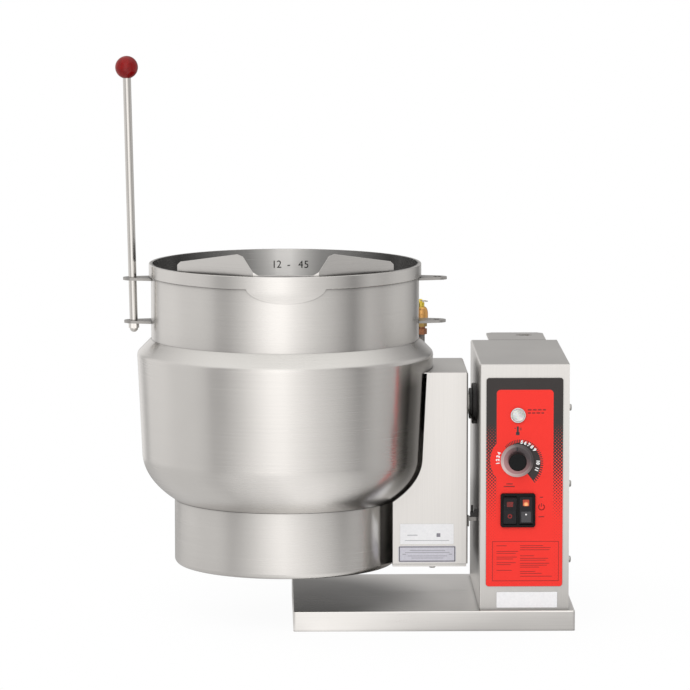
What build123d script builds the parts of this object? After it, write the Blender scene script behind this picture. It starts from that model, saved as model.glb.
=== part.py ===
from build123d import *
import math
import os

# Counter-top tilting kettle: a steam-jacketed bowl carried by one trunnion on a control
# console, which stands on a sheet-metal base pan.
# Frame: origin at the centre of the four anchor holes on the counter surface, +X towards
# the console side, +Y to the back, +Z up. Millimetres.

# --- Driving dimensions -------------------------------------------------------------------

# clearances between pieces
WELD_GAP = 0.3
SHEET_GAP = 0.4
RUNNING_GAP = 0.05
SEAL_GAP = 0.4
SCREW_GAP = 0.3

# base pan
BASE_LENGTH = 442.0
BASE_DEPTH = 337.0
BASE_HEIGHT = 32.0
BASE_GAUGE = 2.0
BASE_CORNER = 4.0
FOOT_FLANGE = 28.0
ANCHOR_INSET_X = 21.0
ANCHOR_INSET_Y = 18.5
ANCHOR_HOLE = 11.0

# console's place on the base
BASE_END_MARGIN = 10.0
BASE_FRONT_MARGIN = 6.5

# bowl: straight wall and elliptical head, inside sizes
BOWL_RADIUS = 209.5
BOWL_WALL = 2.5
RIM_Z = 568.0
BOWL_TANGENT_Z = 284.0
BOWL_HEAD = 104.0

# rim band and the smooth pouring spout formed in its front
RIM_BAND_HEIGHT = 20.0
RIM_BAND_THICKNESS = 3.2
RIM_EDGE_RADIUS = 1.2
SPOUT_HALF_WIDTH = 62.0
SPOUT_DROP = 42.0
SPOUT_OVERLAP = 1.0
SPOUT_APRON_RISE = 4.0
SPOUT_RUN_OUT = 0.14

# pouring dam: two flat wings and the notch between them
DAM_THICKNESS = 2.5
DAM_DEPTH = 20.0
DAM_END_ANGLE = 53.5
DAM_BEND_ANGLE = 14.0
DAM_END_HEIGHT = 15.0
DAM_TOP_HEIGHT = 32.6
DAM_LIP_HEIGHT = 1.0
DAM_TOP_HALF = 74.5
NOTCH_HALF = 42.0
NOTCH_SHOULDER = 8.5
NOTCH_CORNER = 5.0
DAM_PEAK_DROP = 3.0

# steam jacket: cone shoulder, slightly tapered wall, elliptical head, outside sizes
JACKET_WALL = 3.0
SHOULDER_TOP_Z = 449.0
SHOULDER_Z = 426.5
SHOULDER_RADIUS = 234.6
SHOULDER_BEND = 9.0
JACKET_TANGENT_Z = 268.0
JACKET_TANGENT_RADIUS = 227.3
JACKET_HEAD = 117.0

# skirt under the jacket
SKIRT_RADIUS = 176.0
SKIRT_WALL = 1.5
SKIRT_BOTTOM_Z = 90.0
SKIRT_EDGE = 8.0
SKIRT_FLANGE = 24.0
SKIRT_COVER_THICKNESS = 1.5
SKIRT_COVER_HOLE = 5.0
SKIRT_COVER_HOLES = 6
CABLE_HOLE = 32.0

# immersion heating elements and probes
ELEMENT_TUBE = 8.0
ELEMENT_PIN = 6.0
ELEMENT_RADII = (62.0, 92.0, 122.0)
ELEMENT_SWEEP = 320.0
ELEMENT_PIN_Z = 132.0
PROBE_HEX = 20.0
PROBE_HEX_HEIGHT = 9.0
PROBE_STEM = 6.0
PROBE_ABOVE = 26.0
PROBE_BELOW = 24.0
PROBE_SKIRT_GAP = 11.0
PROBE_ANGLES = (215.0, 255.0)

# handle tabs, two on each side of the vessel
TAB_THICKNESS = 4.0
TAB_WALL_WIDTH = 50.0
TAB_END_RADIUS = 15.0
TAB_ROOT_DEPTH = 12.0
TAB_ROOT_THICKNESS = 4.0
UPPER_TAB_Z = 541.5
LOWER_TAB_Z = 473.3

# tilting lever
LEVER_FOOT_X = 239.6
LEVER_LEAN = 1.3
LEVER_ROD = 12.7
LEVER_STUD = 9.5
LEVER_STUD_REACH = 10.0
LEVER_LENGTH = 400.0
KNOB_DIAMETER = 36.0
KNOB_SOCKET = 12.0
ACORN_HEX = 14.3
ACORN_HEX_HEIGHT = 8.0
ACORN_DOME_INSET = 0.4

# pivot housing on the vessel's side
HOUSING_RIGHT = 286.5
HOUSING_LEFT = 168.5
HOUSING_WIDTH = 183.0
HOUSING_JACKET_GAP = 4.5
HOUSING_BOTTOM_Z = 99.5
HOUSING_TOP_Z = 403.0
HOUSING_GAUGE = 1.5
HOUSING_EDGE = 3.0
COVER_HEIGHT = 5.0
COVER_INSET = 2.0
COVER_SCREW_MARGIN = 14.0

# trunnion
TRUNNION_Y = 5.5
TRUNNION_Z = 342.0
PIPE_DIAMETER = 33.4
PIPE_WALL = 3.4
PIPE_BEYOND_FRAME = 6.0
TRUNNION_FLANGE_DIAMETER = 96.0
TRUNNION_FLANGE_THICKNESS = 8.0
TRUNNION_BOLT = 10.0
TRUNNION_BOLT_HEX = 17.0
TRUNNION_BOLT_HEAD = 6.4
TRUNNION_BOLT_LENGTH = 22.0
TRUNNION_BOLT_CIRCLE = 70.0
SADDLE_RIGHT = 258.0
SADDLE_LEFT = 205.0
SADDLE_SIZE = 84.0
SADDLE_WALL = 6.0
COLLAR_DIAMETER = 39.0
COLLAR_LENGTH = 3.0
SEAL_DIAMETER = 65.0
SEAL_THICKNESS = 6.6
SEAL_EDGE = 1.5
SEAL_BOSS_DIAMETER = 49.0
SEAL_BOSS_LENGTH = 4.4

# console
CONSOLE_LEFT = 302.9
CONSOLE_WIDTH = 140.5
CONSOLE_FRONT = -126.0
CONSOLE_DEPTH = 315.0
CONSOLE_TOP_Z = 421.0
CONSOLE_GAUGE = 1.5
CONSOLE_EDGE = 3.0
RETURN_FLANGE = 14.0
COVER_SCREW_Z = (111.5, 231.5, 352.0)
COVER_SCREW_INSET = 9.0
COVER_SCREW_HEAD = 10.5
COVER_SCREW_SHANK = 5.0
COVER_SCREW_LENGTH = 9.0
SCREW_HEAD_SHARE = 0.34
SCREW_DOME_SHARE = 0.2
PIPE_CLEARANCE = 4.0
DIAL_SHAFT_CLEARANCE = 2.0

# bearings inside the console
FRAME_PLATE = 6.0
FRAME_INSET = 3.5
FRAME_SPAN = 90.0
FRAME_HALF_DEPTH = 50.0
FRAME_HEAD_RADIUS = 50.0
BEARING_FLANGE = 76.0
BEARING_FLANGE_THICKNESS = 10.0
BEARING_HUB = 43.4
SHAFT_COLLAR = 48.0
SHAFT_COLLAR_LENGTH = 8.0

# tilt stop
STOP_Y = -62.0
STOP_Z = 171.2
STOP_DEPTH = 14.0
BUMPER_ARM_LENGTH = 11.4
BUMPER_ARM_HEIGHT = 6.8
BUMPER_ROOT_LENGTH = 5.1
BUMPER_ROOT_HEIGHT = 5.3
BUMPER_EDGE = 1.2
STOP_SCREW = 3.2
STOP_SCREW_HEIGHT = 11.0
STOP_TAB_THICKNESS = 3.0
STOP_TAB_REACH = 14.4
STOP_TAB_HEIGHT = 15.0
STOP_TAB_FOOT = 22.0
STOP_BLADE_HEIGHT = 6.2

# faucet bracket on the console's back
BRACKET_THICKNESS = 3.0
BRACKET_INSET = 30.0
BRACKET_WIDTH = 93.0
BRACKET_REACH = 98.0
BRACKET_DROP = 46.0
BRACKET_CHAMFER = 9.0
FAUCET_HOLE = 26.0
FAUCET_INSET = 60.5
FAUCET_SETBACK = 62.0

# control panel: overlay, lamp, thermostat dial, rocker switches
OVERLAY_THICKNESS = 0.8
OVERLAY_INSET = 10.5
OVERLAY_WIDTH = 119.8
OVERLAY_BOTTOM_Z = 70.0
OVERLAY_TOP_Z = 399.5
OVERLAY_CORNER = 4.5
LAMP_INSET = 49.4
LAMP_Z = 341.0
LAMP_DIAMETER = 24.0
LAMP_LENS_DIAMETER = 20.6
LAMP_BEZEL_HEIGHT = 3.0
LAMP_BEZEL_EDGE = 0.8
LAMP_LENS_PROUD = 1.5
LAMP_LENS_EDGE = 1.4
LAMP_BODY_LENGTH = 34.0
DIAL_INSET = 48.2
DIAL_Z = 269.5
DIAL_SKIRT_DIAMETER = 51.8
DIAL_SKIRT_THICKNESS = 3.0
DIAL_SKIRT_BEVEL = 4.0
DIAL_SKIRT_BEVEL_DEPTH = 1.8
DIAL_STANDOFF = 0.6
KNOB_CAP_DIAMETER = 28.2
KNOB_CAP_HEIGHT = 17.0
KNOB_CAP_EDGE = 2.5
KNOB_CAP_FLOOR = 5.0
SHAFT_DIAMETER = 6.0
SHAFT_END_GAP = 0.5
THERMOSTAT_SIZE = 48.0
THERMOSTAT_DEPTH = 30.0
THERMOSTAT_CORNER = 5.0
THERMOSTAT_FLOOR = 10.0
THERMOSTAT_SHAFT_GAP = 2.0
SWITCH_INSET = 49.7
SWITCH_Z = 191.0
BEZEL_WIDTH = 54.5
BEZEL_HEIGHT = 53.7
BEZEL_PROUD = 4.0
BEZEL_CORNER = 4.0
BEZEL_COLLAR = 17.0
BEZEL_EDGE = 1.2
BEZEL_FLANGE = 2.5
COLLAR_CORNER = 2.0
ROCKER_OFFSET = 12.6
ROCKER_WIDTH = 20.5
ROCKER_HALF_HEIGHT = 20.8
ROCKER_END_PROUD = 7.5
ROCKER_MID_PROUD = 5.3
ROCKER_PIVOT_DEPTH = 6.5
ROCKER_TILT = 8.0
ROCKER_GAP = 0.4
ROCKER_BACK = 3.0
ROCKER_BACK_INSET = 6.0
WINDOW_CORNER = 1.0
SWITCH_BODY_DEPTH = 32.0
SWITCH_BODY_INSET = 3.0
SWITCH_TAB_THICKNESS = 0.8
SWITCH_TAB_HEIGHT = 6.4
SWITCH_TAB_ROWS = (-15.0, 0.0, 15.0)

# electrical panel inside the console
PANEL_SETBACK = 39.0
PANEL_INSET = 7.5
PANEL_WIDTH = 76.0
PANEL_TOP_Z = 392.0
PANEL_FOOT = 24.0
CONTACTOR_Z = 330.0
CONTACTOR_WIDTH = 56.0
CONTACTOR_HEIGHT = 62.0
CONTACTOR_STEP_HEIGHT = 34.0
CONTACTOR_STEP_DEPTH = 34.0
CONTACTOR_DEPTH = 52.0
CONTACTOR_PITCH = 18.0
CONTACTOR_ROW = 24.0
TERMINAL_SCREW = 8.0
TERMINAL_SCREW_DEPTH = 4.0
TRANSFORMER_Z = 236.0
CORE_SIZE = (46.0, 40.0, 24.0)
CORE_FOOT_SIZE = (66.0, 14.0, 3.0)
COIL_SIZE = (30.0, 54.0, 18.0)
LEVEL_BOARD_Z = 158.0
BOARD_WIDTH = 60.0
BOARD_HEIGHT = 48.0
BOARD_THICKNESS = 1.6
STANDOFF = 8.0
STANDOFF_DIAMETER = 6.0
STANDOFF_INSET = 5.0
RELAY_WIDTH = 24.0
RELAY_HEIGHT = 18.0
RELAY_DEPTH = 15.4
TERMINAL_Z = 88.0
TERMINAL_WIDTH = 64.0
TERMINAL_HEIGHT = 34.0
TERMINAL_BASE_DEPTH = 14.0
TERMINAL_POLE_WIDTH = 14.0
TERMINAL_POLE_HEIGHT = 18.0
TERMINAL_POLE_DEPTH = 10.0
TERMINAL_PITCH = 20.0
HUB_INSET = 109.5
HUB_Z = 78.0
HUB_BORE = 21.0
HUB_FLANGE = 40.0
HUB_NECK = 27.0
HUB_OUTSIDE = 10.0
HUB_LENGTH = 24.0
HUB_EDGE = 2.0

# fittings on the shoulder
FITTING_HEX = 20.0
FITTING_HEX_HEIGHT = 10.0
FITTING_WALL_GAP = 2.2
FITTING_PIPE = 13.7
FITTING_PIPE_BORE = 9.0
FITTING_DEPTH = 25.0

# safety valve
VALVE_ANGLE = 16.4
VALVE_HEX = 18.0
VALVE_HEX_DROP = 3.0
VALVE_HEX_HEIGHT = 9.0
VALVE_COLLAR_INSET = 1.5
VALVE_NECK_HEIGHT = 3.4
VALVE_NECK_INSET = 1.0
VALVE_BONNET_RISE = 21.0
VALVE_BONNET_RADIUS = 12.0
VALVE_BONNET_TOP_RADIUS = 7.6
VALVE_BONNET_HEIGHT = 20.0
VALVE_BONNET_SHARE = 0.35
VALVE_CAP_RADIUS = 6.2
VALVE_CAP_HEIGHT = 7.0
VALVE_CAP_EDGE = 1.2
VALVE_STEM_RADIUS = 2.4
VALVE_STEM_DEPTH = 12.0
VALVE_STEM_END_GAP = 1.0
VALVE_TANG_WIDTH = 6.0
VALVE_TANG_THICKNESS = 2.0
VALVE_TANG_HEIGHT = 5.0
VALVE_TANG_EDGE = 2.0
RING_WIRE = 1.4
RING_RADIUS = 5.6
RING_DROOP = 6.0

# pressure gauge and filling plug at the back of the shoulder
GAUGE_ANGLE = 118.0
GAUGE_DIAMETER = 52.0
GAUGE_DEPTH = 24.0
GAUGE_RISE = 47.0
GAUGE_WALL = 1.6
GAUGE_WELL = 16.0
GAUGE_STEM_NECK = 4.0
FACE_THICKNESS = 3.0
GLASS_DEPTH = 4.0
GLASS_THICKNESS = 2.0
NEEDLE_DEPTH = 10.5
NEEDLE_WIDTH = 1.6
NEEDLE_LENGTH = 24.0
NEEDLE_TAIL = 6.0
NEEDLE_THICKNESS = 0.8
NEEDLE_HUB_RADIUS = 3.0
NEEDLE_HUB_HEIGHT = 2.0
SPINDLE_RADIUS = 1.0
SPINDLE_LENGTH = 5.0
PLUG_ANGLE = 74.0
PLUG_STUB = 24.0
PLUG_BOSS = 11.0
PLUG_BOSS_HEIGHT = 8.0

# --- Sizes that follow ----------------------------------------------------------------------

BOWL_OUTER = BOWL_RADIUS + BOWL_WALL
COLLAR_SEAT = BOWL_OUTER + WELD_GAP
RIM_OUTER = COLLAR_SEAT + RIM_BAND_THICKNESS
FITTING_RADIUS = COLLAR_SEAT + FITTING_HEX / math.sqrt(3) + FITTING_WALL_GAP
FITTING_BOTTOM_Z = SHOULDER_TOP_Z - FITTING_DEPTH
VALVE_X = FITTING_RADIUS * math.cos(math.radians(VALVE_ANGLE))
VALVE_Y = FITTING_RADIUS * math.sin(math.radians(VALVE_ANGLE))
VALVE_HEX_BOTTOM_Z = SHOULDER_TOP_Z - VALVE_HEX_DROP
VALVE_BONNET_BOTTOM_Z = SHOULDER_TOP_Z + VALVE_BONNET_RISE
VALVE_CAP_BOTTOM_Z = VALVE_BONNET_BOTTOM_Z + VALVE_BONNET_HEIGHT + WELD_GAP
GAUGE_Z = SHOULDER_TOP_Z + GAUGE_RISE
PROBE_RADIUS = SKIRT_RADIUS - SKIRT_WALL - PROBE_HEX / math.sqrt(3) - PROBE_SKIRT_GAP
ANCHOR_SPACING_X = BASE_LENGTH - 2 * ANCHOR_INSET_X
ANCHOR_SPACING_Y = BASE_DEPTH - 2 * ANCHOR_INSET_Y
HOUSING_FRONT = TRUNNION_Y - HOUSING_WIDTH / 2
HOUSING_BACK = TRUNNION_Y + HOUSING_WIDTH / 2
PIPE_RADIUS = PIPE_DIAMETER / 2
CONSOLE_RIGHT = CONSOLE_LEFT + CONSOLE_WIDTH
CONSOLE_BACK = CONSOLE_FRONT + CONSOLE_DEPTH
FRAME_LEFT = CONSOLE_LEFT + FRAME_INSET
FRAME_RIGHT = FRAME_LEFT + FRAME_SPAN
PIPE_END = FRAME_RIGHT + PIPE_BEYOND_FRAME
BRACKET_LEFT = CONSOLE_LEFT + BRACKET_INSET
FAUCET_X = BRACKET_LEFT + FAUCET_INSET
OVERLAY_LEFT = CONSOLE_LEFT + OVERLAY_INSET
LAMP_X = OVERLAY_LEFT + LAMP_INSET
DIAL_X = OVERLAY_LEFT + DIAL_INSET
SWITCH_X = OVERLAY_LEFT + SWITCH_INSET
PANEL_LEFT = CONSOLE_LEFT + PANEL_INSET
PANEL_MIDDLE = PANEL_LEFT + PANEL_WIDTH / 2
PANEL_Y = CONSOLE_BACK - PANEL_SETBACK
HUB_X = CONSOLE_LEFT + HUB_INSET
OVERLAY_FRONT = CONSOLE_FRONT - OVERLAY_THICKNESS
BEZEL_FRONT = OVERLAY_FRONT - BEZEL_PROUD
ROCKER_PIVOT_Y = BEZEL_FRONT + ROCKER_PIVOT_DEPTH
KETTLE_X = BASE_LENGTH / 2 - BASE_END_MARGIN - CONSOLE_RIGHT
KETTLE_Y = BASE_FRONT_MARGIN - BASE_DEPTH / 2 - CONSOLE_FRONT
TO_ROW = Pos(KETTLE_X, KETTLE_Y, 0)

# --- Shared forms -----------------------------------------------------------------------------

def along_x(x, y, z):
    """Plane whose normal is +X, for turned pieces that lie along X."""
    return Plane(origin=(x, y, z), x_dir=(0, 1, 0), z_dir=(1, 0, 0))


def along_back(x, y, z):
    """Plane whose normal is +Y, for turned pieces that run to the back."""
    return Plane(origin=(x, y, z), x_dir=(-1, 0, 0), z_dir=(0, 1, 0))


def rod(plane, radius, length, bore=0.0):
    """Round bar on the plane, along its normal, with an optional bore."""
    ring = Circle(radius)
    if bore:
        ring -= Circle(bore)
    return extrude(plane * ring, amount=length)


def hex_bar(plane, across_flats, length, bore=0.0):
    """Hexagon bar on the plane, along its normal, with an optional bore."""
    ring = RegularPolygon(across_flats / 2, 6, major_radius=False)
    if bore:
        ring -= Circle(bore)
    return extrude(plane * ring, amount=length)


def block(x0, x1, y0, y1, z0, z1):
    """Box between two corners."""
    size = Box(x1 - x0, y1 - y0, z1 - z0)
    return Pos((x0 + x1) / 2, (y0 + y1) / 2, (z0 + z1) / 2) * size


def deeper(plane, depth):
    """The same plane, moved back along its normal."""
    return Plane(plane.origin - plane.z_dir * depth, x_dir=plane.x_dir, z_dir=plane.z_dir)


def spin(edges):
    """Solid of revolution about Z from a closed chain of edges in the X-Z plane."""
    return revolve(make_face(Plane.XZ * Curve(edges)), Axis.Z)


def head_z(radius, tangent_radius, tangent_z, depth):
    """Height of an elliptical head's surface at a radius."""
    return tangent_z - depth * math.sqrt(1 - (radius / tangent_radius) ** 2)


def jacket_solid(grow):
    """The jacket's outer body as a solid, its surface moved outward (or inward) by a gap."""
    tangent_radius = JACKET_TANGENT_RADIUS + grow
    shoulder_radius = SHOULDER_RADIUS + grow
    shoulder_z = SHOULDER_Z + grow * math.tan(math.radians(22.5))
    top_z = SHOULDER_TOP_Z + grow * math.sqrt(2)
    head_depth = JACKET_HEAD + grow
    head = EllipticalCenterArc((0, JACKET_TANGENT_Z), tangent_radius, head_depth, -90, arc_size=90)
    wall = FilletPolyline(
        (tangent_radius, JACKET_TANGENT_Z), (shoulder_radius, shoulder_z), (COLLAR_SEAT, top_z),
        radius=SHOULDER_BEND + grow,
    )
    close = Polyline((COLLAR_SEAT, top_z), (0, top_z), (0, JACKET_TANGENT_Z - head_depth))
    return spin([head, *wall.edges(), *close.edges()])


def vessel_envelope(grow):
    """Everything that the round vessel fills, for cutting the pieces that meet it."""
    skirt_top = JACKET_TANGENT_Z - JACKET_HEAD / 2
    skirt = rod(Plane((0, 0, SKIRT_BOTTOM_Z - grow)), SKIRT_RADIUS + grow, skirt_top - SKIRT_BOTTOM_Z)
    return jacket_solid(grow) + skirt


# --- Base -------------------------------------------------------------------------------------

def base_pan():
    """Folded pan: top sheet, four sides and turned-in foot flanges with the anchor holes."""
    corners = Axis.Z
    outer = extrude(Rectangle(BASE_LENGTH, BASE_DEPTH), amount=BASE_HEIGHT)
    outer = fillet(outer.edges().filter_by(corners), BASE_CORNER)
    hollow = extrude(
        Pos(0, 0, BASE_GAUGE) * Rectangle(BASE_LENGTH - 2 * BASE_GAUGE, BASE_DEPTH - 2 * BASE_GAUGE),
        amount=BASE_HEIGHT - 2 * BASE_GAUGE,
    )
    hollow = fillet(hollow.edges().filter_by(corners), BASE_CORNER - BASE_GAUGE)
    opening = extrude(
        Rectangle(BASE_LENGTH - 2 * FOOT_FLANGE, BASE_DEPTH - 2 * FOOT_FLANGE), amount=BASE_GAUGE
    )
    pan = outer - hollow - opening
    pan = fillet(pan.faces().sort_by(Axis.Z)[-1].outer_wire().edges(), BASE_GAUGE)
    holes = GridLocations(ANCHOR_SPACING_X, ANCHOR_SPACING_Y, 2, 2) * Circle(ANCHOR_HOLE / 2)
    return pan - extrude(Sketch() + holes, amount=BASE_GAUGE)


# --- Vessel -----------------------------------------------------------------------------------

def bowl():
    """Inner bowl: straight wall on an elliptical head, open at the top."""
    return round_vessel(BOWL_OUTER, BOWL_HEAD + BOWL_WALL) - round_vessel(BOWL_RADIUS, BOWL_HEAD)


def round_vessel(radius, head):
    """Solid straight drum on an elliptical head, from the bowl's bottom to the rim."""
    bottom = EllipticalCenterArc((0, BOWL_TANGENT_Z), radius, head, -90, arc_size=90)
    wall = Polyline((radius, BOWL_TANGENT_Z), (radius, RIM_Z), (0, RIM_Z), (0, BOWL_TANGENT_Z - head))
    return spin([bottom, *wall.edges()])


def rim_band():
    """Stiffening band round the rim, faired away at the front into the pouring spout."""
    band_bottom = RIM_Z - RIM_BAND_HEIGHT
    apron_top = band_bottom + SPOUT_OVERLAP
    section = make_face(Plane.XZ * Polyline(
        (COLLAR_SEAT, band_bottom), (RIM_OUTER, band_bottom), (RIM_OUTER, RIM_Z),
        (COLLAR_SEAT, RIM_Z), close=True,
    ))
    outer_corners = section.vertices().group_by(Axis.X)[-1]
    band = revolve(fillet(outer_corners, RIM_EDGE_RADIUS), Axis.Z)
    spout_bottom = RIM_Z - SPOUT_DROP
    fairing = spin([
        Line((COLLAR_SEAT, spout_bottom), (COLLAR_SEAT, apron_top)),
        Line((COLLAR_SEAT, apron_top), (RIM_OUTER, apron_top)),
        Spline(
            (RIM_OUTER, apron_top), (COLLAR_SEAT, spout_bottom),
            tangents=[(0, -1), (-SPOUT_RUN_OUT, -1)],
        ),
    ])
    apron_z = band_bottom + SPOUT_APRON_RISE
    apron = extrude(
        Plane.XZ * Pos(0, apron_z) * Ellipse(SPOUT_HALF_WIDTH, apron_z - spout_bottom),
        amount=2 * RIM_OUTER,
    )
    return band + (fairing & apron)


def pour_dam():
    """Folded plate standing inside the front of the rim, notched in the middle to pour."""
    reach = BOWL_RADIUS - WELD_GAP
    end = math.radians(DAM_END_ANGLE)
    bend = math.radians(DAM_BEND_ANGLE)
    end_x, end_y = reach * math.sin(end), -reach * math.cos(end)
    bend_x, bend_y = reach * math.sin(bend), -reach * math.cos(bend)
    plan = Polyline((-end_x, end_y), (-bend_x, bend_y), (bend_x, bend_y), (end_x, end_y))
    strip = make_face(offset(plan, DAM_THICKNESS, side=Side.LEFT, kind=Kind.INTERSECTION))
    plate = extrude(Pos(0, 0, RIM_Z - DAM_DEPTH) * strip, amount=DAM_DEPTH + DAM_TOP_HEIGHT)
    half = [
        (NOTCH_HALF, DAM_LIP_HEIGHT),
        (NOTCH_HALF + NOTCH_SHOULDER, DAM_LIP_HEIGHT + NOTCH_CORNER),
        (DAM_TOP_HALF - NOTCH_SHOULDER, DAM_TOP_HEIGHT - DAM_PEAK_DROP),
        (DAM_TOP_HALF, DAM_TOP_HEIGHT),
        (end_x - NOTCH_CORNER, DAM_END_HEIGHT),
        (end_x, DAM_END_HEIGHT - NOTCH_CORNER),
        (end_x, -DAM_DEPTH),
    ]
    left = [(-x, z) for x, z in reversed(half)]
    outline = make_face(Plane.XZ * Pos(0, RIM_Z) * Polyline(*left, *half, close=True))
    plate &= extrude(outline, amount=BOWL_OUTER, dir=(0, -1, 0))
    inside = Pos(0, 0, RIM_Z) * Cylinder(reach, 2 * DAM_TOP_HEIGHT + DAM_DEPTH)
    return plate & inside


def jacket():
    """Outer jacket: cone shoulder, tapered wall and elliptical head, one even wall."""
    throat = Pos(0, 0, SHOULDER_TOP_Z) * Cylinder(COLLAR_SEAT, 4 * JACKET_WALL)
    shell = jacket_solid(0) - jacket_solid(-JACKET_WALL) - throat
    head_bottom = JACKET_TANGENT_Z - JACKET_HEAD
    ports = [
        rod(fitting_place(angle, FITTING_BOTTOM_Z - WELD_GAP), FITTING_PIPE / 2 + WELD_GAP, FITTING_DEPTH)
        for angle in (VALVE_ANGLE, GAUGE_ANGLE, PLUG_ANGLE)
    ]
    for x, y in element_pins():
        ports.append(Pos(x, y, head_bottom) * Cylinder(ELEMENT_PIN / 2 + WELD_GAP, JACKET_HEAD))
    for x, y in probe_places():
        ports.append(Pos(x, y, head_bottom) * Cylinder(PROBE_STEM / 2 + WELD_GAP, 2 * JACKET_HEAD))
    for hole in ports:
        shell -= hole
    return shell


def fitting_place(angle, z):
    """Level plane on the axis of a shoulder fitting, at an angle from +X."""
    turn = math.radians(angle)
    return Plane(
        origin=(FITTING_RADIUS * math.cos(turn), FITTING_RADIUS * math.sin(turn), z),
        x_dir=(-math.sin(turn), math.cos(turn), 0), z_dir=(0, 0, 1),
    )


def skirt():
    """Thin round skirt below the jacket, with a turned-in bottom flange."""
    inner = SKIRT_RADIUS - SKIRT_WALL

    def seat(radius):
        return head_z(
            radius, JACKET_TANGENT_RADIUS + WELD_GAP, JACKET_TANGENT_Z, JACKET_HEAD + WELD_GAP
        )

    flange_top = SKIRT_BOTTOM_Z + SKIRT_WALL
    ring = make_face(Plane.XZ * Polyline(
        (SKIRT_RADIUS, SKIRT_BOTTOM_Z), (SKIRT_RADIUS, seat(SKIRT_RADIUS)), (inner, seat(inner)),
        (inner, flange_top), (SKIRT_RADIUS - SKIRT_FLANGE, flange_top),
        (SKIRT_RADIUS - SKIRT_FLANGE, SKIRT_BOTTOM_Z), close=True,
    ))
    edge = ring.vertices().sort_by_distance((SKIRT_RADIUS, 0, SKIRT_BOTTOM_Z))[:1]
    ring = fillet(edge, SKIRT_EDGE)
    edge = ring.vertices().sort_by_distance((inner, 0, flange_top))[:1]
    shell = revolve(fillet(edge, SKIRT_EDGE - SKIRT_WALL), Axis.Z)
    cable_z = (SKIRT_BOTTOM_Z + seat(SKIRT_RADIUS)) / 2
    return shell - rod(along_x(inner - CABLE_HOLE, 0, cable_z), CABLE_HOLE / 2, 2 * CABLE_HOLE)


def skirt_cover():
    """Flat cover lying on the skirt's bottom flange, with screw holes."""
    disc = Circle(SKIRT_RADIUS - SKIRT_EDGE - SHEET_GAP)
    screw_circle = SKIRT_RADIUS - (SKIRT_EDGE + SKIRT_FLANGE) / 2
    disc -= PolarLocations(screw_circle, SKIRT_COVER_HOLES) * Circle(SKIRT_COVER_HOLE / 2)
    return extrude(
        Pos(0, 0, SKIRT_BOTTOM_Z + SKIRT_WALL) * disc, amount=SKIRT_COVER_THICKNESS
    )


def element_gap_z(radius):
    """Middle of the water space between bowl and jacket at a radius."""
    above = head_z(radius, BOWL_OUTER, BOWL_TANGENT_Z, BOWL_HEAD + BOWL_WALL)
    below = head_z(
        radius, JACKET_TANGENT_RADIUS - JACKET_WALL, JACKET_TANGENT_Z, JACKET_HEAD - JACKET_WALL
    )
    return (above + below) / 2


def element_pins():
    """Plan positions of the elements' cold pins, two for each ring, just inside its ends."""
    half_gap = math.radians((360 - ELEMENT_SWEEP) / 2)
    places = []
    for radius in ELEMENT_RADII:
        turn = half_gap + ELEMENT_PIN / 2 / radius
        for side in (-1, 1):
            places.append((radius * math.cos(turn), side * radius * math.sin(turn)))
    return places


def heating_elements():
    """Three open rings of heating tube in the water space, their pins through the head."""
    rings = []
    half_gap = (360 - ELEMENT_SWEEP) / 2
    tube = Circle(ELEMENT_TUBE / 2)
    for index, radius in enumerate(ELEMENT_RADII):
        z = element_gap_z(radius)
        start = Plane(origin=(radius, 0, z), x_dir=(1, 0, 0), z_dir=(0, 1, 0))
        ring = revolve(start * tube, Axis.Z, revolution_arc=ELEMENT_SWEEP)
        ring = Rot(0, 0, half_gap) * ring
        for x, y in element_pins()[2 * index: 2 * index + 2]:
            ring += rod(Plane((x, y, ELEMENT_PIN_Z)), ELEMENT_PIN / 2, z - ELEMENT_PIN_Z)
        rings.append(ring)
    return rings


def probe_places():
    """Plan positions of the probes in the jacket's head."""
    return [
        (PROBE_RADIUS * math.cos(math.radians(turn)), PROBE_RADIUS * math.sin(math.radians(turn)))
        for turn in PROBE_ANGLES
    ]


def jacket_probes():
    """Low-water electrode and thermostat well, screwed into the jacket's head from below."""
    probes = []
    for x, y in probe_places():
        seat = head_z(PROBE_RADIUS, JACKET_TANGENT_RADIUS, JACKET_TANGENT_Z, JACKET_HEAD)
        foot = Plane((x, y, seat - PROBE_BELOW))
        probe = hex_bar(foot, PROBE_HEX, PROBE_HEX_HEIGHT)
        probe += rod(foot, PROBE_STEM / 2, PROBE_BELOW + PROBE_ABOVE)
        probes.append(probe)
    return probes


def lever_plane(side, height):
    """Plane square to the lever's axis; height is counted from the lower tab's top face."""
    lean = math.radians(LEVER_LEAN)
    axis = (side * math.sin(lean), 0, math.cos(lean))
    foot = (side * LEVER_FOOT_X, 0, LOWER_TAB_Z + TAB_THICKNESS)
    origin = tuple(f + height * a for f, a in zip(foot, axis))
    return Plane(origin=origin, x_dir=(math.cos(lean), 0, -side * math.sin(lean)), z_dir=axis)


def handle_tab(side, bottom_z, hole):
    """Flat tab welded to the vessel's side, tapering to a rounded end with one hole."""
    wall_x = COLLAR_SEAT - TAB_ROOT_DEPTH
    end_x = LEVER_FOOT_X + (bottom_z - LOWER_TAB_Z) * math.tan(math.radians(LEVER_LEAN))
    root = Pos(wall_x, 0) * Rectangle(TAB_ROOT_THICKNESS, TAB_WALL_WIDTH)
    end = Pos(end_x, 0) * Circle(TAB_END_RADIUS)
    outline = make_hull(root.edges() + end.edges())
    tab = extrude(Pos(0, 0, bottom_z) * outline, amount=TAB_THICKNESS)
    if side < 0:
        tab = mirror(tab, Plane.YZ)
    drill = rod(lever_plane(side, -LEVER_FOOT_X), hole / 2, 2 * LEVER_FOOT_X)
    vessel = Pos(0, 0, bottom_z) * Cylinder(COLLAR_SEAT, 4 * TAB_THICKNESS)
    return tab - vessel - drill


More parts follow.
